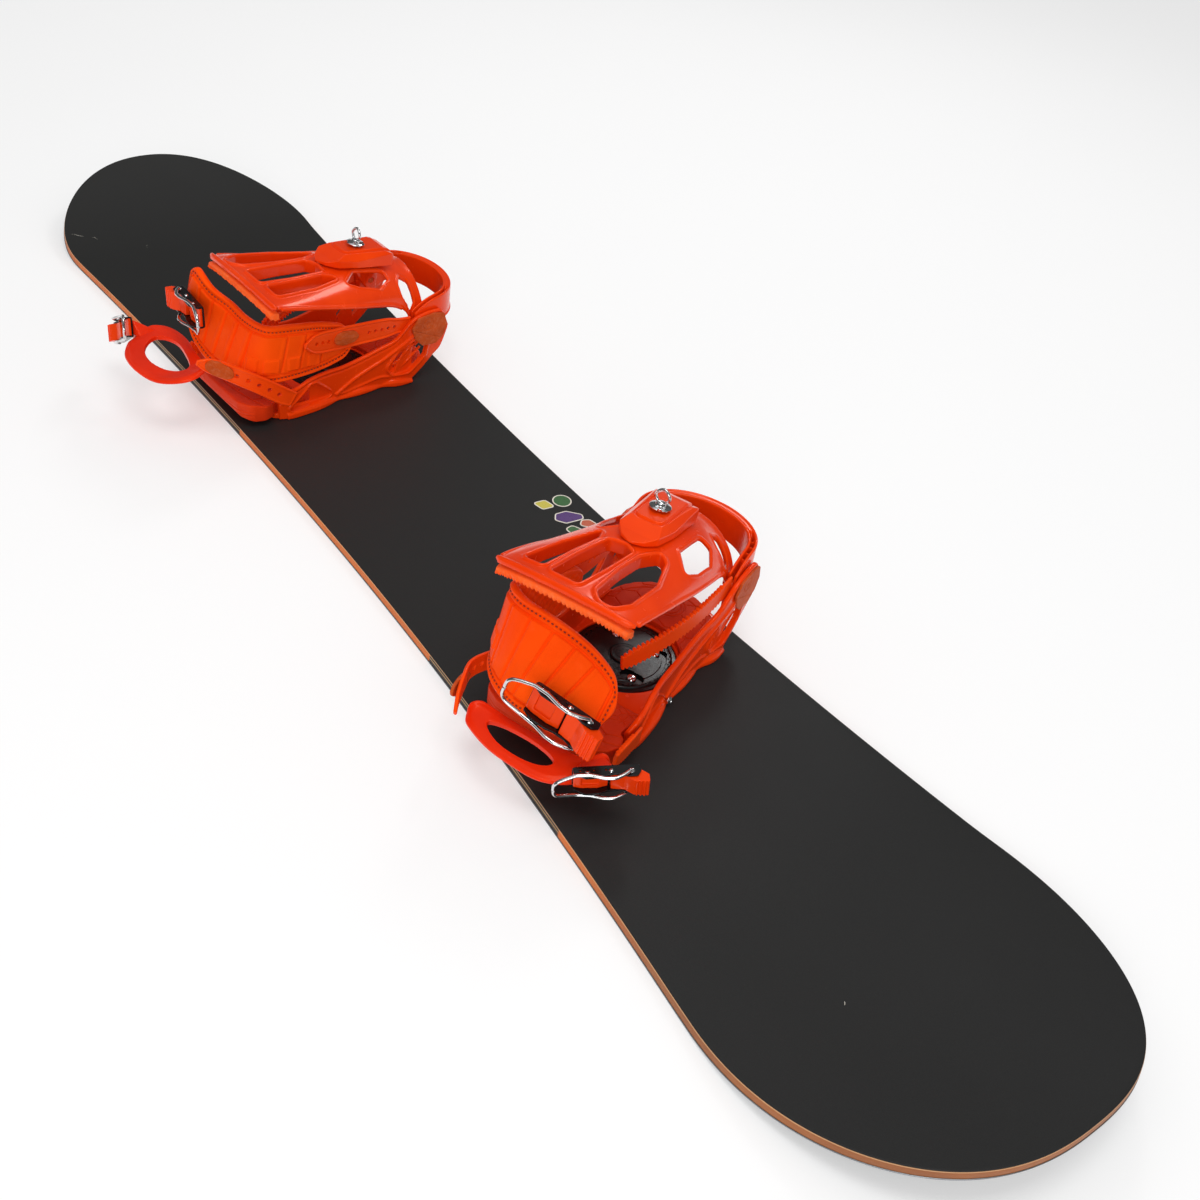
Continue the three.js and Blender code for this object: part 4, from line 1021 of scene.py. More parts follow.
def make_screws():
    for i, (x, y) in enumerate(((20, 20), (20, -20), (-20, 20), (-20, -20)), 1):
        profile = [(2.2, 4.0), (3.6, 4.0), (4.2, 4.4), (4.2, 5.3), (3.7, 6.0), (2.4, 6.4), (0.01, 6.5)]
        head = lathe(profile, (x, y), 40)
        turn = 0.3 * i
        slots = []
        for k in range(2):
            a = turn + k * math.pi / 2
            c, s = math.cos(a), math.sin(a)
            corners = [(-2.7, -0.55), (2.7, -0.55), (2.7, 0.55), (-2.7, 0.55)]
            slots.append(prism([(x + p * c - q * s, y + p * s + q * c) for p, q in corners], 5.0, 8))
        cut(head, *slots)
        place_both(head, f"disc_screw_head_{i}", "board", "chrome", [f"disc_screw_{i}"], 30)


def hexagons(x, y, size):
    """Distance to the nearest line of a honeycomb."""
    best = np.full(x.shape, 1e9)
    second = np.full(x.shape, 1e9)
    step = size * math.sqrt(3)
    for i in range(-8, 9):
        for j in range(-10, 11):
            cx = i * size * 1.5
            cy = j * step + (step / 2 if i % 2 else 0)
            d = np.hypot(x - cx, y - cy)
            closer = d < best
            second = np.where(closer, best, np.minimum(second, d))
            best = np.where(closer, d, best)
    return second - best


def make_heel_pad():
    rim = []
    for i in range(49):
        angle = math.radians(234 - 108 * i / 48)
        rim.append((49 * math.cos(angle), 49 * math.sin(angle)))
    corner = [(-44, 50.5), (-62, 51), (-74, 48.5), (-86, 42), (-97, 30), (-104, 14), (-105, 0)]
    outline = rim + corner[:-1] + [(-104.6, 4), (-104.6, -4)] + [(u, -v) for u, v in corner[-2::-1]]
    pad = mould(prism(soften(outline, 4), 6.2, 11), 0.55, 5)
    def pattern(co, no):
        top = step_up(no[:, 2], 0.6, 0.3)
        lines = groove(hexagons(co[:, 0] + 4, co[:, 1], 13), 1.7)
        reach = np.hypot(co[:, 0] + 78, co[:, 1])
        badge = np.maximum(groove(reach - 14, 1.3), groove(reach - 10.5, 1.0))
        badge = np.maximum(badge, groove(reach - 6, 1.0)) * step_up(15.5 - reach, 0, 0.5)
        lines = lines * step_up(reach, 16, 0.6)
        edge = groove(np.hypot(co[:, 0] + 45, co[:, 1] * 1.05) - 52, 1.3) * step_up(-co[:, 0], 62, 4)
        return -0.75 * top * np.maximum(np.maximum(lines, badge), edge)
    emboss(pad, pattern)
    place_both(pad, "heel_cushion", "base", "soft_orange", ["heel_pad"])


def make_ramp():
    side = [(56, 6.3), (120, 6.3), (130, 9), (135, 17), (132, 26), (120, 25), (60, 11.5)]
    ramp = across(soften(side, 3), -64, 64)
    plan = soften([
        (54, -48), (62, -52), (94, -52), (99, -58), (110, -62), (124, -58), (132, -44), (135, -16),
        (135, 16), (132, 44), (124, 58), (110, 62), (99, 58), (94, 52), (62, 52), (54, 48),
    ], 12)
    ramp = common(ramp, prism(plan, 0, 40))
    ramp = cut(ramp, prism(ring(49, 96), 0, 40))
    ramp = mould(ramp, 0.6, 5)
    def pattern(co, no):
        top = step_up(no[:, 2], 0.6, 0.3)
        radius = np.hypot(co[:, 0] - 20, co[:, 1] * 0.85)
        border = groove(radius - 104, 1.6)
        inner = step_up(104 - radius, 2.0)
        lines = groove(hexagons(co[:, 0] - 92, co[:, 1], 13), 1.8)
        lower = groove(hexagons(co[:, 0] - 92, co[:, 1], 6.5), 1.1) * step_up(-co[:, 0], -84, 2)
        front = step_up(no[:, 0], 0.5, 0.3) * (groove(co[:, 2] - 13, 1.2) + groove(co[:, 2] - 17, 1.0))
        return -1.1 * top * np.maximum(border, inner * np.maximum(lines, lower)) - 0.6 * front
    emboss(ramp, pattern)
    place_both(ramp, "toe_cushion", "gas_pedal", "soft_orange", ["toe_ramp"])


# ------------------------------------------------------------------ heel hoop and hinge


def hoop_path(offset):
    path = []
    half, depth = 49.6 + offset, 35.5 + offset
    for u in np.linspace(-72, -97, 9):
        path.append((u, half))
    for i in range(49):
        angle = math.pi * i / 48
        path.append((-98 - depth * math.sin(angle), half * math.cos(angle)))
    for u in np.linspace(-97, -72, 9):
        path.append((u, -half))
    return np.array(path)


def hoop_heights(u):
    back = min(max((-72 - u) / 40, 0), 1)
    top = 94 - 14 * (1 - back) ** 2
    low = 56 + 8 * back - 16 * (1 - back)
    return back, top, low


def make_hoop():
    wall, wide = 2.6, 8.6
    offsets = [0, 0.7, 1.9, wall, wall]
    offsets += [wide - wall, wide - wall, wide - 1.7, wide - 0.7, wide, wide, wide - 1, 1, 0]
    paths = [hoop_path(offset) for offset in offsets]
    sections = []
    for i in range(len(paths[0])):
        u = paths[0][i][0]
        back, top, low = hoop_heights(u)
        closed = float(step_up(np.array(-u), 117, 5))
        valley = (top - 16 - 4 * back) * (1 - closed) + (top - 0.9) * closed
        crown = [top - 0.9, top, top, top - 0.9]
        heights = [*crown, valley, valley, *crown, low + 1, low, low, low + 1]
        sections.append([(paths[k][i][0], paths[k][i][1], heights[k]) for k in range(len(offsets))])
    hoop = loft(sections)
    ribs = []
    mid = hoop_path(wide / 2)
    ahead = unit(np.gradient(mid, axis=0))
    for i in range(6, len(mid) - 6, 3):
        u, v = mid[i]
        if u < -117:
            continue
        _, top, _ = hoop_heights(u)
        side = np.array([ahead[i][1], -ahead[i][0]])
        a, b = mid[i] + side * 3.2, mid[i] - side * 3.2
        step = ahead[i] * 0.6
        corners = [a + step, a - step, b - step, b + step]
        ribs.append(prism([tuple(c) for c in corners], top - 22, top - 4.5))
    hoop = join(hoop, *ribs)
    rim = hoop_path(wide)
    line = [(u, v, hoop_heights(u)[2] + 2.0) for u, v in rim]
    hoop = join(hoop, bar(line, 1.3, sides=8))
    hoop = cut(hoop, lathe_across(3.2, -90, 90))
    hoop = mould(hoop, 0.5, 5)
    place_both(hoop, "hoop_shell", "base", "orange_plastic", ["heel_hoop"])


def make_hinge_covers():
    plate_line = soften([
        (-109, 62), (-105, 50), (-95, 42), (-78, 43), (-68, 53), (-64, 66), (-72, 77), (-92, 79),
        (-105, 76),
    ], 3)
    for side, name in ((1, "outer"), (-1, "inner")):
        low, high = (63.4, 65.6) if side > 0 else (-65.6, -63.4)
        plate = across(plate_line, low, high)
        shank = lathe_across(2.95, side * 44, side * 64)
        plate = mould(join(plate, shank), 0.4, 4)
        def pattern(co, no):
            face = step_up(np.abs(no[:, 1]), 0.7, 0.2) * (np.abs(co[:, 1]) > 64)
            line = groove(np.hypot(co[:, 0] + 84, co[:, 2] - 68) - 6.5, 1.0)
            dimple = groove(np.hypot(co[:, 0] + 84, co[:, 2] - 68), 5.0, 1.5)
            stripe = groove(co[:, 2] - 0.45 * co[:, 0] - 93, 1.0)
            return -0.45 * face * np.maximum(np.maximum(line, dimple), stripe)
        emboss(plate, pattern)
        place_both(plate, f"hinge_patch_{name}", "base", "dusty_rubber", [f"hinge_cover_{name}"])


# ------------------------------------------------------------------ highback

SHELL = 3.6
BACK_LINE = [
    [-91, 112, 48.6, 56, 0], [-84, 114, 48.6, 58, 0], [-76, 117, 48.6, 54, 0],
    [-66, 120, 49.2, 41, 0], [-50, 124.5, 51, 34, 0.5], [-25, 129, 54, 30, 2],
    [0, 132, 56.5, 26, 4], [30, 135.5, 59, 20, 6.5], [60, 139, 61.5, 14, 9],
    [85, 142, 62.5, 10, 11], [103, 144, 62.5, 8, 12],
]
TOE_OPENINGS = [
    [(20, -22), (60, -28.5), (94, -31), (94.5, -6), (57, -1.3), (24, 1), (18, -8)],
    [(9, -35), (24, -30), (57, -35.5), (92, -39.5), (91, -57), (46, -48)],
    [(5, 18), (24, 9.5), (53, 7.5), (90, 9), (100, 18), (99, 28), (84, 35), (44, 36), (12, 26)],
]
SIDE_OPENINGS = [
    [(-50, 26), (-14, 26), (4, 42), (-10, 46), (-34, 46), (-50, 36)],
    [(-79, 29), (-70, 28), (-63, 38), (-63, 46), (-72, 47.5), (-80, 42)],
]


def back_row(u):
    return smooth_row(BACK_LINE, min(max(u, -91), 103))


def tip_bow(u, share):
    return max(u - 60, 0) / 42 * 6 * (1 - share * share)


def back_point(u, share, sink=0.0):
    """A point on the shell's outer face; share runs from -1 to 1 across it."""
    centre, half, hang, lean = back_row(u)
    angle = share * math.pi / 2
    v = (half - sink) * math.sin(angle) - lean
    return (u + tip_bow(u, share), v, centre - sink - (hang - sink) * (1 - math.cos(angle)))


def on_back(u, v, sink=0.0):
    """The point of the shell's outer face above u, v."""
    centre, half, hang, lean = back_row(u)
    sine = min(max((v + lean) / half, -1), 1)
    return (u, v, centre - sink - hang * (1 - math.sqrt(1 - sine * sine)))


def back_openings():
    """Outlines of the openings; the first three are deep and lie near the tip."""
    lines = [soften(line, radius) for line, radius in zip(TOE_OPENINGS, (4, 4, 9))]
    for side in (-1, 1):
        lines += [soften([(u, side * v) for u, v in line], 3) for line in SIDE_OPENINGS]
    return lines


def make_highback():
    rows, columns = 90, 70
    keys = [-91 + 194 * i / rows for i in range(rows + 1)]
    shares = [-1 + 2 * j / columns for j in range(columns + 1)]
    grid = [[back_point(u, share) for share in shares] for u in keys]
    shell = sheet(grid, SHELL)
    deep = sheet([[back_point(u, share, 1.0) for share in shares] for u in keys[18:]], 11)
    openings = back_openings()
    flanges = [prism(grow(line, 2.8), 60, 170) for line in openings[:3]]
    collar = common(join(*flanges), deep)
    beads = []
    for k, line in enumerate(openings):
        size = 1.9 if k < 3 else 1.0
        path = [on_back(u, v, 0.2) for u, v in resample(grow(line, 2.0), 2.0)]
        beads.append(bar(path, size, True, 8))
    for side in (-1, 1):
        path = [back_point(u, side * 0.985, 0.2) for u in np.arange(-60, 97, 2.0)]
        beads.append(bar(path, 2.3, sides=8))
    tip = [back_point(100.5, share, -0.1) for share in np.linspace(-0.93, 0.93, 60)]
    beads.append(bar(tip, 2.2, sides=8))
    shell = join(shell, collar, *beads)
    shell = cut(shell, *[prism(line, 40, 175) for line in openings])
    right = [(u, back_row(u)[1] - back_row(u)[3] + 2.4) for u in (60, 75, 90, 106)]
    left = [(u, -back_row(u)[1] - back_row(u)[3] - 2.4) for u in (106, 90, 75, 60)]
    tip_line = []
    for share in np.linspace(0.9, -0.9, 15):
        tip_line.append((106.5 + tip_bow(104, share), 62.5 * math.sin(share * math.pi / 2) - 12))
    plan = [(-110, 80), (50, 80)] + right + tip_line + left + [(50, -90), (-110, -90)]
    shell = common(shell, prism(soften(plan, 9), 20, 180))
    shell = cut(shell, lathe_across(3.06, -90, 90))
    shell = mould(shell, 0.62, 5)
    place_both(shell, "highback_shell", "back", "orange_plastic", ["highback"])


def make_tip_pad():
    sections = []
    count = 220
    for i in range(count + 1):
        share = -0.86 + 1.72 * i / count
        centre, half, hang, lean = back_row(100)
        angle = share * math.pi / 2
        y = half * math.sin(angle) - lean
        outer = centre - hang * (1 - math.cos(angle))
        z = outer - SHELL - 2.2 - 2 * share**4
        tooth = 1.1 + 1.1 * math.sin(i * 1.15) + 0.4 * math.sin(i * 0.37)
        end = max(abs(share) - 0.80, 0) / 0.06
        front = 104.2 + tip_bow(102, share) - 5 * end * end
        back = 97 + tip_bow(97, share)
        sections.append([
            (back, y, z - 0.6), (front - 0.6, y, z + 0.1), (front + 0.6, y, z - 0.6),
            (front + 0.9, y, z - 2.4), (front + 0.3 + tooth * 0.7, y, z - 4.2),
            (front - 0.8 + tooth * 0.4, y, z - 5.6 - tooth * 0.6),
            (front - 3, y, z - 6.0), (back, y, z - 4.6),
        ])
    pad = loft(sections)
    place_both(pad, "highback_tip_strip", "back", "pale_rubber", ["highback_tip_pad"], 40)


# ------------------------------------------------------------------ lean block, thumbscrew

SLOPE = 0.155
BLOCK_V = -6
SCREW_U = -30


def lean_plane(u):
    return 122.9 + (u + 66) * SLOPE


def lean_matrix():
    top = 146.3 + (SCREW_U + 24) * 0.11
    return Matrix.Translation((SCREW_U, BLOCK_V, top)) @ Matrix.Rotation(-math.atan(SLOPE), 4, "Y")


def make_lean_block():
    side = [
        (-66, lean_plane(-66)), (16, lean_plane(16)), (18, lean_plane(18) + 2), (6, 140), (-8, 145),
        (-56, 140), (-64, 136),
    ]
    plan = [(-66, -21), (-20, -22), (2, -19), (12, -11), (17.6, 0), (12, 11), (2, 19), (-20, 22), (-66, 21)]
    body = common(across(soften(side, 4), -24, 24), prism(soften(plan, 6), 100, 165))
    roof = soften([(-23, 100), (-23, 135), (-14, 144.2), (14, 144.2), (23, 135), (23, 100)], 5)
    body = common(body, loft([[(u, v, z + (u + 66) * 0.03) for v, z in roof] for u in (-80, 30)]))
    moved(body, Matrix.Translation((0, BLOCK_V, 0)))
    well = moved(prism(ring(12.2, 48), -0.75, 8), lean_matrix())
    hole = moved(prism(ring(2.6, 24), -10.3, 8), lean_matrix())
    slot = moved(across(soften([(12, -2.4), (24, -2.4), (24, 6), (12, 6)], 1), -3.2, 3.2), lean_matrix())
    body = cut(body, well, slot, hole)
    body = mould(body, 0.4, 6)

    def pattern(co, no):
        """A raised table with a groove round it, open towards the heel."""
        top = step_up(no[:, 2], 0.35, 0.2)
        u, v = co[:, 0], co[:, 1] - BLOCK_V
        corner = np.hypot(np.maximum(np.abs(v) - 6.5, 0), np.maximum(u + 16, 0))
        border = corner - 7.0
        return top * (1.3 * step_up(-border, 0.6, 1.2) - 1.0 * groove(border - 0.8, 1.6))

    emboss(body, pattern)
    place_both(body, "lean_block_shell", "lean_adjuster", "orange_plastic", ["lean_block"])


def make_thumbscrew():
    washer = lathe([
        (2.0, 0.3), (9.0, 0.3), (9.5, 0.7), (9.5, 1.3), (9.0, 1.8), (6.4, 2.3), (4.6, 3.0),
        (3.9, 4.6), (3.3, 5.0), (0.01, 5.1),
    ])
    cuts = []
    for k in range(2):
        t = k * math.pi + 0.4
        cuts.append(prism(ring(2.6, 20, (10.4 * math.cos(t), 10.4 * math.sin(t))), -1, 4))
    washer = cut(washer, *cuts)
    shank = lathe([(0.01, -10), (2.1, -10), (2.5, -9.4), (2.5, 1.0), (0.01, 1.0)], sides=32)
    washer = join(washer, shank)
    loop = []
    for i in range(48):
        angle = 2 * math.pi * i / 48
        wide = 5.6 + 0.9 * math.cos(2 * angle)
        loop.append((0.3 * math.sin(3 * angle), wide * math.cos(angle), 9.8 + 6.4 * math.sin(angle)))
    ring_bar = bar(loop, 1.35, True, 12)
    pin = bar([(0, -4.4, 4.4), (0, 4.4, 4.4)], 1.2, sides=16)
    whole = moved(join(washer, ring_bar, pin), lean_matrix())
    place_both(whole, "thumbscrew_ring", "thumbscrew", "chrome", ["lean_thumbscrew"], 35)


# ------------------------------------------------------------------ bands, pads and caps


def padded(centre, wide, normal, half, outer, inner, radius, columns, corner=0.0):
    """A closed band along a row of centres, half wide to each side.

    outer and inner give its height above and below the middle surface from the distance
    along it, the distance across it and the distance to its border."""
    rows = len(centre)
    gaps = np.linalg.norm(np.diff(centre, axis=0), axis=1)
    along = np.concatenate([[0], np.cumsum(gaps)])
    length = along[-1]
    if corner:
        near = np.minimum(along, length - along)
        part = np.clip(corner - near, 0, corner)
        half = np.maximum(half - (corner - np.sqrt(np.maximum(corner**2 - part**2, 0))), half * 0.12)
    t = np.linspace(-1, 1, columns + 1)
    t = np.sin(t * math.pi / 2) * 0.45 + t * 0.55
    over = half[:, None] * t[None, :]
    reach = np.broadcast_to(along[:, None], over.shape)
    border = np.minimum(half[:, None] - np.abs(over), np.minimum(reach, length - reach))
    edge = np.sqrt(np.maximum(1 - (1 - np.clip(border / radius, 0, 1)) ** 2, 0.0))
    edge = np.maximum(edge, 0.04)
    mid = centre[:, None, :] + wide[:, None, :] * over[:, :, None]
    up = mid + normal[:, None, :] * (outer(reach, over, border) * edge)[:, :, None]
    down = mid - normal[:, None, :] * (inner(reach, over, border) * edge)[:, :, None]
    loop = np.concatenate([up, down[:, ::-1]], axis=1)
    corners = loop.shape[1]
    faces = []
    for i in range(rows - 1):
        for j in range(corners):
            a, b = i * corners + j, i * corners + (j + 1) % corners
            faces.append((a, b, b + corners, a + corners))
    columns_n = columns + 1
    for row in (0, rows - 1):
        for j in range(columns_n - 1):
            a = row * corners + j
            d = row * corners + corners - 1 - j
            faces.append((a, a + 1, d - 1, d))
    return mesh_object(loop.reshape(-1, 3), faces)


def band_frame(rows, wide):
    """Centres, width directions, normals and half widths of a strap along rows [x, y, z, half]."""
    rows = np.array(rows, float)
    centre = rows[:, :3]
    ahead = unit(np.gradient(centre, axis=0))
    across_it = np.array(wide, float)[None, :] - ahead * (ahead @ np.array(wide, float))[:, None]
    across_it = unit(across_it)
    normal = np.cross(ahead, across_it)
    return centre, across_it, normal, rows[:, 3]


ANKLE_CONNECTOR = [
    [-67, -55.4, 68, 8.5], [-52, -55.4, 69.4, 9], [-36, -55.6, 70.6, 11.5], [0, -56.3, 73, 12.5],
    [30, -58.9, 76, 12.5], [52, -61.6, 79, 11], [66, -63.8, 81, 2.5],
]
ANKLE_LADDER = [
    [-68, 55.4, 74, 8.5], [-40, 54.4, 71, 10], [-8, 50.6, 67, 10], [25, 42, 62, 10],
    [52, 31, 57.4, 10], [61, 27, 56, 7],
]
TOE_CONNECTOR = {
    "front": [
        [79, -64.4, 25, 8.5], [92, -66.6, 29, 9.5], [112, -70.4, 36, 9.5], [132, -70.4, 42, 9.5],
        [150, -64, 45, 9], [165, -58, 42, 7], [177, -51.5, 39, 2],
    ],
    "rear": [
        [80, -64.6, 24, 8.5], [92, -64.4, 32, 9.5], [112, -61.5, 47, 9.5], [132, -55, 60, 9.5],
        [148, -47, 69, 9], [160, -41.6, 75, 7.5], [170, -38.4, 79, 2.5],
    ],
}
TOE_LADDER = [
    [86, 65.4, 19, 8], [98, 66.6, 21.4, 8.5], [114, 68, 25, 8.5], [126, 68.6, 28, 7.5], [131, 68.6, 29, 5],
]
UP = (0, 0, 1)


def band(table, count, columns, outer, inner, edge=0.9, wave=None):
    centre, wide, normal, half = band_frame(stations(table, count), UP)
    if wave is not None:
        gaps = np.linalg.norm(np.diff(centre, axis=0), axis=1)
        along = np.concatenate([[0], np.cumsum(gaps)])
        half = half + wave(along, along[-1])
    return padded(centre, wide, normal, half, outer, inner, edge, columns)


def hole_tool(table, key, radius, sides=20):
    """A round tool square to the strap at a place along it."""
    x, y, z, _ = [key, *smooth_row(table, key)]
    a = np.array([key + 0.5, *smooth_row(table, key + 0.5)[:2]])
    b = np.array([key - 0.5, *smooth_row(table, key - 0.5)[:2]])
    ahead = unit(a - b)
    up = unit(np.array(UP) - ahead * ahead[2])
    normal = np.cross(ahead, up)
    spin = frame_matrix([ahead, up, normal], (x, y, z))
    return moved(prism(ring(radius, sides), -8, 8), spin)


def flat_inner(depth):
    return lambda s, o, b: np.full(s.shape, depth)


def make_ankle_connector():
    def outer(s, o, b):
        rim = 0.55 * groove(b - 1.6, 1.6, 0.8)
        seam = -0.25 * groove(b - 3.4, 0.8, 0.6)
        return 1.3 + rim + seam
    obj = band(ANKLE_CONNECTOR, 240, 40, outer, flat_inner(1.3))
    spots = [-47, -39, -31, -23, -15, 36, 43.5, 51]
    obj = cut(obj, *[hole_tool(ANKLE_CONNECTOR, x, 2.0) for x in spots])
    place_both(obj, "ankle_connector_band", "ankle_strap", "strap_orange", ["ankle_connector"], 34)
    place_both(leaf(14, -58.4, 75, 0.08, -0.07), "ankle_leaf", "ankle_strap", "dusty_rubber")


def leaf(x, y, z, lean, slant):
    """The flat leaf of the tool-free adjuster."""
    line = soften([(-16, -1), (-10, -6.5), (4, -8), (13, -5), (16, 0), (13, 6), (4, 8), (-10, 6)], 5)
    plate = mould(across(line, -2.3, 0.2), 0.32, 4)
    def crown(co, no):
        near = np.hypot(co[:, 0] / 16, co[:, 2] / 8)
        face = step_up(-no[:, 1], 0.5, 0.3)
        return face * (0.9 * np.maximum(1 - near**2, 0) + 0.25 * groove(co[:, 2] - 0.3 * co[:, 0] * 0.2, 0.8))
    emboss(plate, crown)
    turn = Matrix.Translation((x, y, z)) @ Matrix.Rotation(slant, 4, "Z") @ Matrix.Rotation(-lean, 4, "Y")
    return moved(plate, turn)


def tooth_wave(pitch, depth, start):
    def wave(along, length):
        saw = np.abs((along / pitch) % 1 - 0.5) * 2
        return -depth * saw * step_up(along, start, 2) * step_up(length - along, 2, 1)
    return wave


def make_ladders():
    def ridges(pitch, start, wide):
        def outer(s, o, b):
            saw = (s / pitch) % 1
            tooth = np.where(saw < 0.75, saw / 0.75, (1 - saw) / 0.25)
            on = step_up(s, start, 2)
            near_edge = 1 - step_up(b, wide, 1.2)
            spine = groove(o, 3.0, 1.2)
            return 1.3 + on * (1.7 * tooth * near_edge + 0.3 * spine)
        return outer
    ladder = band(ANKLE_LADDER, 420, 40, ridges(4.4, 14, 4.2), flat_inner(1.3), 0.8, tooth_wave(4.4, 2.6, 14))
    place_both(ladder, "ankle_ladder_band", "ankle_ladder_strap", "strap_orange", ["ankle_ladder"], 40)
    ladder = band(TOE_LADDER, 180, 32, ridges(4.0, 12, 3.8), flat_inner(1.3), 0.8, tooth_wave(4.0, 1.8, 12))
    place_both(ladder, "toe_ladder_band", "toe_ladder_strap", "strap_orange", ["toe_ladder"], 40)


def make_toe_connector(kind):
    table = TOE_CONNECTOR[kind]
    def outer(s, o, b):
        return 1.3 + 0.45 * groove(b - 1.6, 1.6, 0.8)
    obj = band(table, 240, 40, outer, flat_inner(1.3))
    first = table[1][0] + 4
    spots = [first + (table[4][0] - 12 - first) * i / 4 for i in range(5)]
    tools = [hole_tool(table, x, 2.4) for x in spots]
    obj = cut(obj, *tools)
    place(obj, kind, "toe_connector_band", "toe_strap", "strap_orange", ["toe_connector"], 34)
    key = table[4][0] + 2
    y, z, _ = smooth_row(table, key)
    slant, lean = (0.14, 0.1) if kind == "front" else (0.44, 0.5)
    place(leaf(key, y - 1.0, z, lean, slant), kind, "toe_leaf", "toe_strap", "dusty_rubber")


ANKLE_PAD = {
    "front": [
        [0, 4, -53, 84, 4, -54, 50], [1, 45, -57, 98, 42, -58, 44], [2, 78, -61, 110, 86, -64, 44],
        [3, 97, -61, 116, 112, -65, 49], [4, 105, -45, 115, 138, -48, 49], [5, 105, -20, 112, 153, -20, 48],
        [6, 103, 2, 106, 155, 4, 48], [7, 101, 22, 97, 154, 28, 48], [8, 102, 42, 84, 148, 46, 54],
        [9, 108, 54, 72, 131, 57, 60],
    ],
    "rear": [
        [0, 4, -53, 84, 4, -54, 50], [1, 40, -56, 97, 38, -57, 44], [2, 72, -58.4, 104, 76, -60, 44],
        [3, 97, -54, 106, 106, -57, 45], [4, 104, -38, 105, 126, -42, 46], [5, 107, -18, 106, 136, -18, 48],
        [6, 110, 0, 111, 139, 8, 52], [7, 120, 18, 120, 139, 32, 64], [8, 124, 34, 131, 135, 46, 86],
        [9, 125, 44, 137, 127, 50, 116],
    ],
}
TOE_CAP = {
    "front": [
        [0, 154, -51, 41, 162, -53, 27], [1, 149, -42, 36, 172, -44, 29], [2, 148, -20, 32, 183, -19, 31],
        [3, 148, 5, 31, 188, 6, 33], [4, 149, 30, 33, 187, 34, 32], [5, 152, 50, 39, 173, 56, 30],
        [6, 140, 67, 46, 147, 74, 29],
    ],
    "rear": [
        [0, 157, -37, 80, 163, -38.6, 63], [1, 149, -27, 66, 184, -31, 58], [2, 145, -7, 55, 202, -12, 54],
        [3, 144, 16, 56, 210, 12, 56], [4, 140, 40, 57, 208, 38, 57], [5, 145, 60, 60, 197, 56, 58],
        [6, 160, 74, 64, 186, 68, 54],
    ],
}
CAP_HOLE = {"front": (1.6, 4.1, 0.5), "rear": (1.9, 4.7, 0.56)}
PAD_THICKNESS = 7
CAP_THICKNESS = 4


def pad_frame(table, count, thickness, bulge):
    """Middle surface of a pad between its top and bottom edges, and its directions."""
    rows = np.array(stations(table, count))
    top, bottom = rows[:, 1:4], rows[:, 4:7]
    centre = (top + bottom) / 2
    for _ in range(6):
        for line in (top, bottom, centre):
            line[1:-1] = line[1:-1] * 0.5 + (line[:-2] + line[2:]) * 0.25
    wide = unit(top - bottom)
    ahead = unit(np.gradient(centre, axis=0))
    normal = unit(np.cross(ahead, wide))
    half = np.linalg.norm(top - bottom, axis=1) / 2
    return centre - normal * (thickness / 2 - bulge * 0.5), wide, normal, half


def make_ankle_pad(kind):
    count = 420
    centre, wide, normal, half = pad_frame(ANKLE_PAD[kind], count, PAD_THICKNESS, 1.5)
    gaps = np.linalg.norm(np.diff(centre, axis=0), axis=1)
    length = float(gaps.sum())
    seams = [0.16, 0.27, 0.36, 0.52, 0.60, 0.68, 0.76, 0.84]

    def outer(s, o, b):
        height = np.full(s.shape, PAD_THICKNESS / 2 + 0.4)
        inside = step_up(b, 10.5, 1.0)
        height += 0.9 * inside
        height -= 1.9 * groove(b - 9.6, 2.2, 1.0)
        height -= 0.8 * groove(b - 5.6, 2.0, 1.0)
        height += 0.7 * groove(b - 1.6, 2.8, 1.4)
        for k, share in enumerate(seams):
            lean = 0.10 * (k - 3.5)
            line = s - share * length - lean * o
            height -= 1.9 * inside * groove(line, 2.0, 1.4)
            height += 0.5 * inside * groove(line - 3.4, 4.0, 3.0)
        share = s / length
        for start, end in ((0.19, 0.25), (0.29, 0.345), (0.385, 0.44), (0.46, 0.505)):
            along_part = step_up(share, start, 0.008) * step_up(-share, -end, 0.008)
            across_part = step_up(-o, 4.0, 0.8) * step_up(o, -17.5, 0.8)
            block = along_part * across_part * inside
            height += 1.6 * block
        return height

    def inner(s, o, b):
        foam = 0.35 * np.sin(s * 0.55) * np.sin(o * 0.6)
        return PAD_THICKNESS / 2 - 0.1 + foam * step_up(b, 6, 3)

    obj = padded(centre, wide, normal, half, outer, inner, 3.2, 110, 15)
    place(obj, kind, "ankle_cushion", "ankle_strap", "pad_fabric", ["ankle_pad"])
    place(stitches(centre, wide, normal, half, 5.6, 15), kind, "ankle_stitches", "ankle_strap", "thread")


def stitches(centre, wide, normal, half, border, corner):
    """A row of thread dashes a set distance in from a pad's border."""
    gaps = np.linalg.norm(np.diff(centre, axis=0), axis=1)
    along = np.concatenate([[0], np.cumsum(gaps)])
    part = np.clip(corner - np.minimum(along, along[-1] - along), 0, corner)
    reach = half - (corner - np.sqrt(np.maximum(corner**2 - part**2, 0))) - border
    inside = (np.minimum(along, along[-1] - along) > border) & (reach > 1)
    lines = []
    for side in (-1, 1):
        lines.append((centre + wide * (side * reach)[:, None] + normal * (PAD_THICKNESS / 2 + 0.2))[inside])
    loop = np.concatenate([lines[0], lines[1][::-1]])
    path = resample(loop, 0.55)
    dashes = []
    for i in range(0, len(path) - 6, 7):
        dash = path[i : i + 5]
        dashes.append(bar(dash, [0.2, 0.55, 0.6, 0.55, 0.2], sides=6))
    return merge(*dashes)


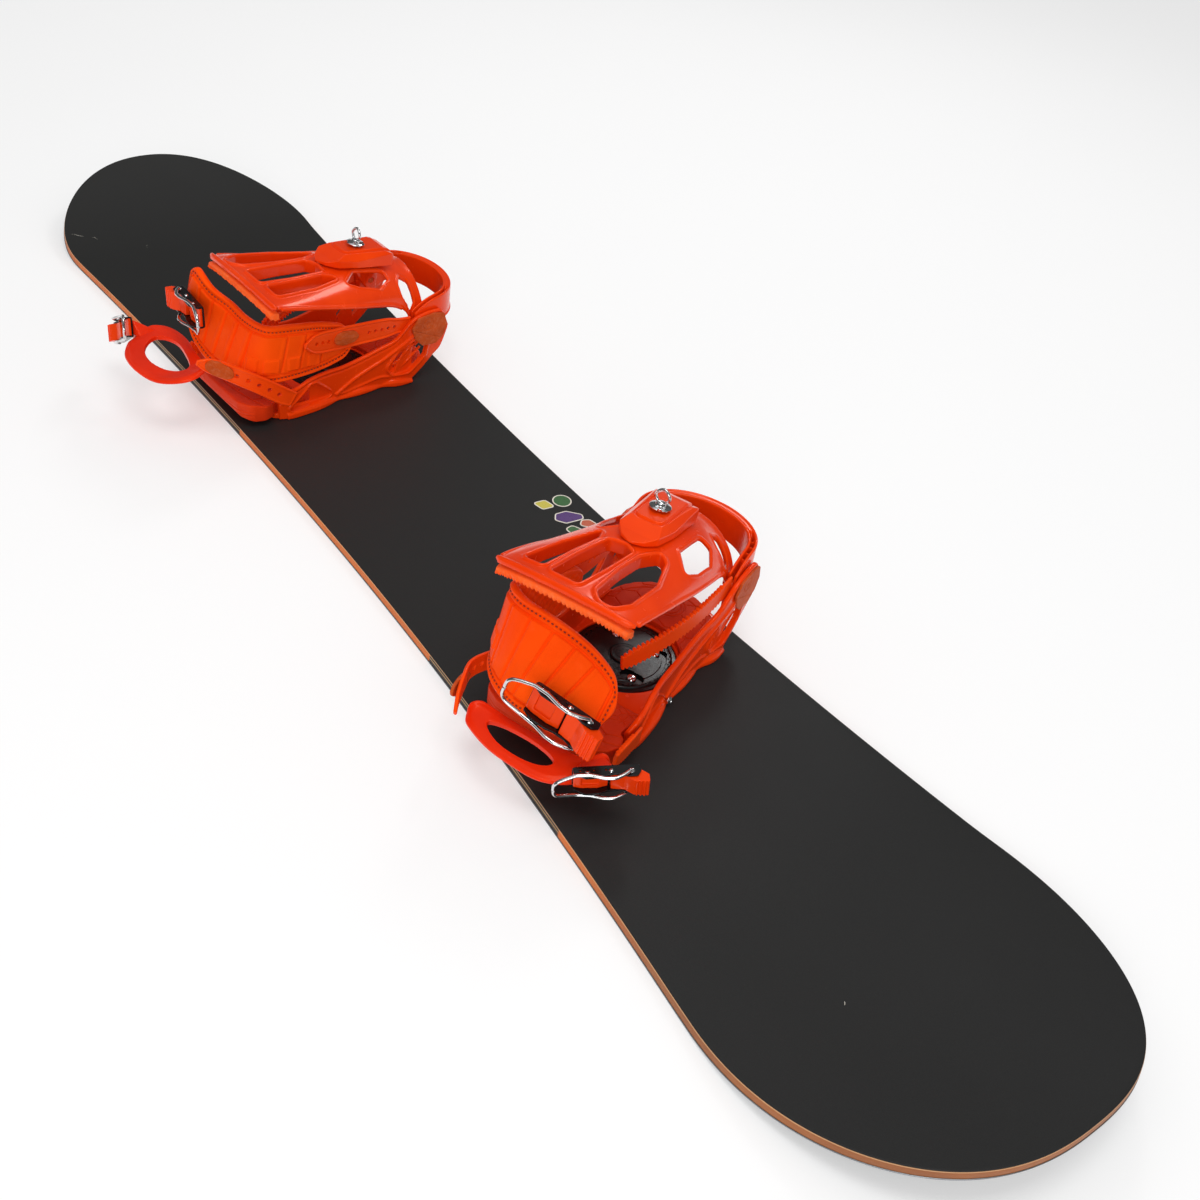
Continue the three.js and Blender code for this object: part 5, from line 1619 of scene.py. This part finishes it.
def make_toe_cap(kind):
    centre, wide, normal, half = pad_frame(TOE_CAP[kind], 160, CAP_THICKNESS, 2)
    def outer(s, o, b):
        return np.full(s.shape, CAP_THICKNESS / 2) + 0.8 * step_up(b, 4, 5)
    obj = padded(centre, wide, normal, half, outer, flat_inner(CAP_THICKNESS / 2), 1.6, 50, 9)
    first, last, mid_share = CAP_HOLE[kind]
    loop = []
    for i in range(64):
        angle = 2 * math.pi * i / 64
        key = (first + last) / 2 + (last - first) / 2 * math.cos(angle)
        row = smooth_row(TOE_CAP[kind], key)
        share = mid_share + 0.28 * math.sin(angle)
        point = [row[3 + k] + (row[k] - row[3 + k]) * share for k in range(3)]
        loop.append((point[0], point[1]))
    obj = cut(obj, prism(loop, 0, 120))
    obj = mould(obj, 0.5, 5)
    place(obj, kind, "toe_cap_shell", "toe_strap", "red_orange_plastic", ["toe_cap"])


def make_buckle_seat(kind):
    """The moulded lump at the cap's end that carries the toe buckle."""
    matrix = buckle_matrix(kind, "toe")
    points = [matrix @ Vector((x, y, z)) for x in (-24, 8) for y in (-8.5, 8.5) for z in (-3, -0.4)]
    out = Vector(BUCKLES[f"{kind}_toe"][2]).normalized()
    for key in (5.1, 5.8):
        row = smooth_row(TOE_CAP[kind], key)
        for share in (0.3, 0.7):
            on_cap = Vector([row[3 + k] + (row[k] - row[3 + k]) * share for k in range(3)])
            points += [on_cap - out * depth for depth in (1, 3)]
    seat = mesh_object(points, [])
    edit = bmesh.new()
    edit.from_mesh(seat.data)
    hull = bmesh.ops.convex_hull(edit, input=edit.verts)
    inside = [v for v in hull["geom_interior"] if isinstance(v, bmesh.types.BMVert)]
    bmesh.ops.delete(edit, geom=inside, context="VERTS")
    bmesh.ops.recalc_face_normals(edit, faces=edit.faces)
    edit.to_mesh(seat.data)
    edit.free()
    seat = mould(seat, 0.5, 6)
    place(seat, kind, "toe_buckle_seat", "toe_strap", "red_orange_plastic")


# ------------------------------------------------------------------ ratchet buckles

CHEEK_IN, CHEEK_OUT = 11, 12.6
LEVER_PIVOT = (24, 7)
RELEASE_PIVOT = (8, 5.4)
BUCKLES = {
    "front_ankle": ((151.5, 27, 70), (0, 0.97, -0.15), (0.93, 0.05, 0.25), 1),
    "front_toe": ((160.5, 74, 43), (-0.6, 0.78, 0.1), (0.87, 0.46, -0.12), 0.85),
    "rear_ankle": ((138, 22, 101), (-0.1, 0.99, -0.05), (0.95, 0.15, 0), 0.9),
    "rear_toe": ((180.5, 87, 54.5), (-0.12, 0.8, -0.58), (0.95, 0.23, 0.14), 0.8),
}


def buckle_matrix(kind, name):
    at, along, out, size = BUCKLES[f"{kind}_{name}"]
    x = Vector(along).normalized()
    z = Vector(out)
    z = (z - x * z.dot(x)).normalized()
    return frame_matrix([x * size, z.cross(x) * size, z * size], at)


def buckle_frame():
    plate = prism(soften([(-28, -12.6), (28, -12.6), (28, 12.6), (-28, 12.6)], 4), 0, 1.7)
    cheek = soften([
        (-27, 0), (31, 0), (32.5, 7), (29, 12.4), (20, 12.4), (13, 10), (3, 10.4), (-4, 12.8), (-17, 13),
        (-27, 7),
    ], 2.5)
    parts = []
    for side in (-1, 1):
        low, high = (CHEEK_IN, CHEEK_OUT) if side > 0 else (-CHEEK_OUT, -CHEEK_IN)
        parts.append(across(cheek, low, high))
    plate = join(plate, *parts)
    holes = [across(ring(1.0, 16, (x, 4.2)), -14, 14) for x in (-21, -9, 1.5)]
    plate = cut(plate, *holes)
    return mould(plate, 0.3, 4)


def buckle_rivets():
    studs = []
    for x, z, r in ((-15, 7.6, 2.3), (6, 6.2, 2.2), (*LEVER_PIVOT, 2.8)):
        for side in (-1, 1):
            dome = lathe([(r, -0.2), (r, 0.5), (r * 0.75, 1.1), (r * 0.4, 1.4), (0.01, 1.45)], sides=24)
            turn = Matrix.Translation((x, side * CHEEK_OUT, z)) @ Matrix.Rotation(-side * math.pi / 2, 4, "X")
            studs.append(moved(dome, turn))
    return merge(*studs)


def buckle_bed():
    """The ratchet's inner body between the cheeks."""
    side = soften([(-27, 1.6), (3, 1.6), (4, 5.0), (-6, 7.4), (-20, 6.6), (-27, 4.6)], 1.2)
    bed = across(side, -10.5, 10.5)
    hollow = across(soften([(-20, 4.4), (-4, 5.4), (-5, 9), (-20, 9)], 1), -6.8, 6.8)
    return mould(cut(bed, hollow), 0.35, 4)


def buckle_lever():
    half = [
        (24, -10.6, 7), (24, -14.4, 7), (21, -15, 9.5), (17, -15, 12.5), (9, -15, 16), (0, -15, 15.5),
        (-12, -15, 11.5), (-25, -14.4, 10.5), (-36, -12, 12.5), (-42, -10, 13.8), (-45, -6.5, 14.2),
        (-45.4, 0, 14.3),
    ]
    mirrored = [(x, -y, z) for x, y, z in half[:-1]][::-1]
    path = smooth_line(half + mirrored, 0.8, 6)
    return bar(path, 1.9, sides=14, flat=0.8, flat_along=(0, 1, 0))


def buckle_release():
    side = soften([
        (5.5, 3.2), (9, 2.4), (22, 2.2), (33, 5), (39.5, 10), (39, 17.6), (35, 18.6), (27, 17.4),
        (18, 10.4), (6, 8.6),
    ], 1.4)
    body = across(side, -10.6, 10.6)
    pin = across(ring(1.3, 20, RELEASE_PIVOT), -12.4, 12.4)
    body = join(body, pin)
    tools = []
    for k in range(4):
        x = 26.4 + 3.3 * k
        z = 17.2 + 0.4 * k
        tools.append(bar([(x, -12, z), (x, 12, z)], 1.05, sides=10))
        x, z = 39.9 - 0.3 * k, 15.6 - 2.2 * k
        tools.append(bar([(x, -12, z), (x, 12, z)], 0.7, sides=10))
    return mould(cut(body, *tools), 0.32, 4)


def make_buckles():
    for name in ("ankle", "toe"):
        for kind in KINDS:
            matrix = buckle_matrix(kind, name)
            strap, lever, release = f"{name}_strap", f"{name}_lever", f"{name}_release"
            parts = (
                (buckle_frame, f"{name}_buckle_cheeks", strap, "black_plastic", [f"{name}_buckle"], None),
                (buckle_rivets, f"{name}_buckle_rivets", strap, "chrome", [], 40),
                (buckle_bed, f"{name}_buckle_bed", strap, "orange_plastic", [], None),
                (buckle_lever, f"{lever}_loop", f"{lever}_body", "chrome", [lever], None),
                (buckle_release, f"{release}_grip", f"{release}_body", "orange_plastic", [release], None),
            )
            for make, piece, body, look, nodes, sharp in parts:
                place(moved(make(), matrix), kind, piece, body, look, nodes, sharp)


def make_side_bolts():
    dome = lathe([(3.6, 0), (3.6, 1.0), (3.0, 1.8), (1.6, 2.4), (1.3, 1.7), (0.01, 1.6)], sides=32)
    turn = Matrix.Translation((23, 58.6, 5.2)) @ Matrix.Rotation(-math.pi / 2, 4, "X")
    place_both(moved(dome, turn), "side_bolt", "base", "chrome", (), 35)


# ------------------------------------------------------------------ floor, light, camera


def make_stage():
    mesh = bpy.data.meshes.new("floor")
    reach = 30
    corners = [(-reach, -reach, 0), (reach, -reach, 0), (reach, reach, 0), (-reach, reach, 0)]
    mesh.from_pydata(corners, [], [(0, 1, 2, 3)])
    floor = bpy.data.objects.new("floor", mesh)
    scene.collection.objects.link(floor)
    look = Look("floor_paper")
    cloud = look.noise(0.7, 2)
    look.bump(look.noise(700, 2), 0.00003, 0.3)
    glow = {"Emission_Color": (1, 1, 1, 1), "Emission_Strength": 0.36}
    paper = look.mix(cloud, "#cdcdcd", "#d1d1d1")
    rough = look.ramp(cloud, 0, 1, 0.7, 0.8)
    floor.data.materials.append(look.done(paper, rough, Specular_IOR_Level=0.2, **glow))

    world = bpy.data.worlds.new("studio")
    scene.world = world
    world.use_nodes = True
    sky = world.node_tree
    back = sky.nodes["Background"]
    back.inputs["Color"].default_value = (1.0, 1.0, 1.0, 1)
    rays = sky.nodes.new("ShaderNodeLightPath")
    where = sky.nodes.new("ShaderNodeSeparateXYZ")
    sky.links.new(sky.nodes.new("ShaderNodeTexCoord").outputs["Generated"], where.inputs[0])
    shine = sky.nodes.new("ShaderNodeMapRange")
    shine.inputs["From Min"].default_value = 0.72
    shine.inputs["From Max"].default_value = 0.98
    shine.inputs["To Min"].default_value = 0.10
    shine.inputs["To Max"].default_value = 0.9
    sky.links.new(where.outputs["Z"], shine.inputs["Value"])
    pick = sky.nodes.new("ShaderNodeMix")
    pick.inputs["A"].default_value = 0.62
    sky.links.new(rays.outputs["Is Glossy Ray"], pick.inputs["Factor"])
    sky.links.new(shine.outputs[0], pick.inputs["B"])
    white = sky.nodes.new("ShaderNodeMix")
    white.inputs["B"].default_value = 1.0
    sky.links.new(rays.outputs["Is Camera Ray"], white.inputs["Factor"])
    sky.links.new(pick.outputs[0], white.inputs["A"])
    sky.links.new(white.outputs[0], back.inputs["Strength"])

    def area(name, place_at, aim, size, power):
        light = bpy.data.lights.new(name, "AREA")
        light.shape = "RECTANGLE"
        light.size, light.size_y = size
        light.energy = power
        lamp = bpy.data.objects.new(name, light)
        lamp.location = place_at
        lamp.rotation_euler = (Vector(aim) - Vector(place_at)).to_track_quat("-Z", "Y").to_euler()
        scene.collection.objects.link(lamp)

    area("key", (0.6, -0.2, 2.8), (0, 0, 0), (1.4, 1.2), 20)
    area("fill", (2.2, -1.8, 1.3), (0, 0, 0.05), (1.6, 1.2), 24)
    area("strip", (-0.9, 1.5, 1.5), (-0.1, 0, 0.1), (0.4, 0.4), 5)
    scene.view_settings.view_transform = "Standard"


def make_camera():
    camera = bpy.data.cameras.new("camera")
    camera.sensor_width = 36
    camera.lens = 40.2
    camera.clip_start = 0.01
    eye = bpy.data.objects.new("camera", camera)
    right = Vector((0.5796, 0.8051, 0.1261)).normalized()
    back = Vector((0.5728, -0.5125, 0.6398)).normalized()
    up = back.cross(right)
    right = up.cross(back)
    eye.matrix_world = frame_matrix([right, up, back], (0.8830, -0.5800, 0.7917))
    scene.collection.objects.link(eye)
    scene.camera = eye


# ------------------------------------------------------------------ everything in turn

make_board()
make_stickers()
make_scuffs()
make_base()
make_disc()
make_screws()
make_heel_pad()
make_ramp()
make_hoop()
make_hinge_covers()
make_highback()
make_tip_pad()
make_lean_block()
make_thumbscrew()
make_ankle_connector()
make_ladders()
for kind in KINDS:
    make_toe_connector(kind)
    make_ankle_pad(kind)
    make_toe_cap(kind)
    make_buckle_seat(kind)
make_buckles()
make_side_bolts()
make_stage()
make_camera()
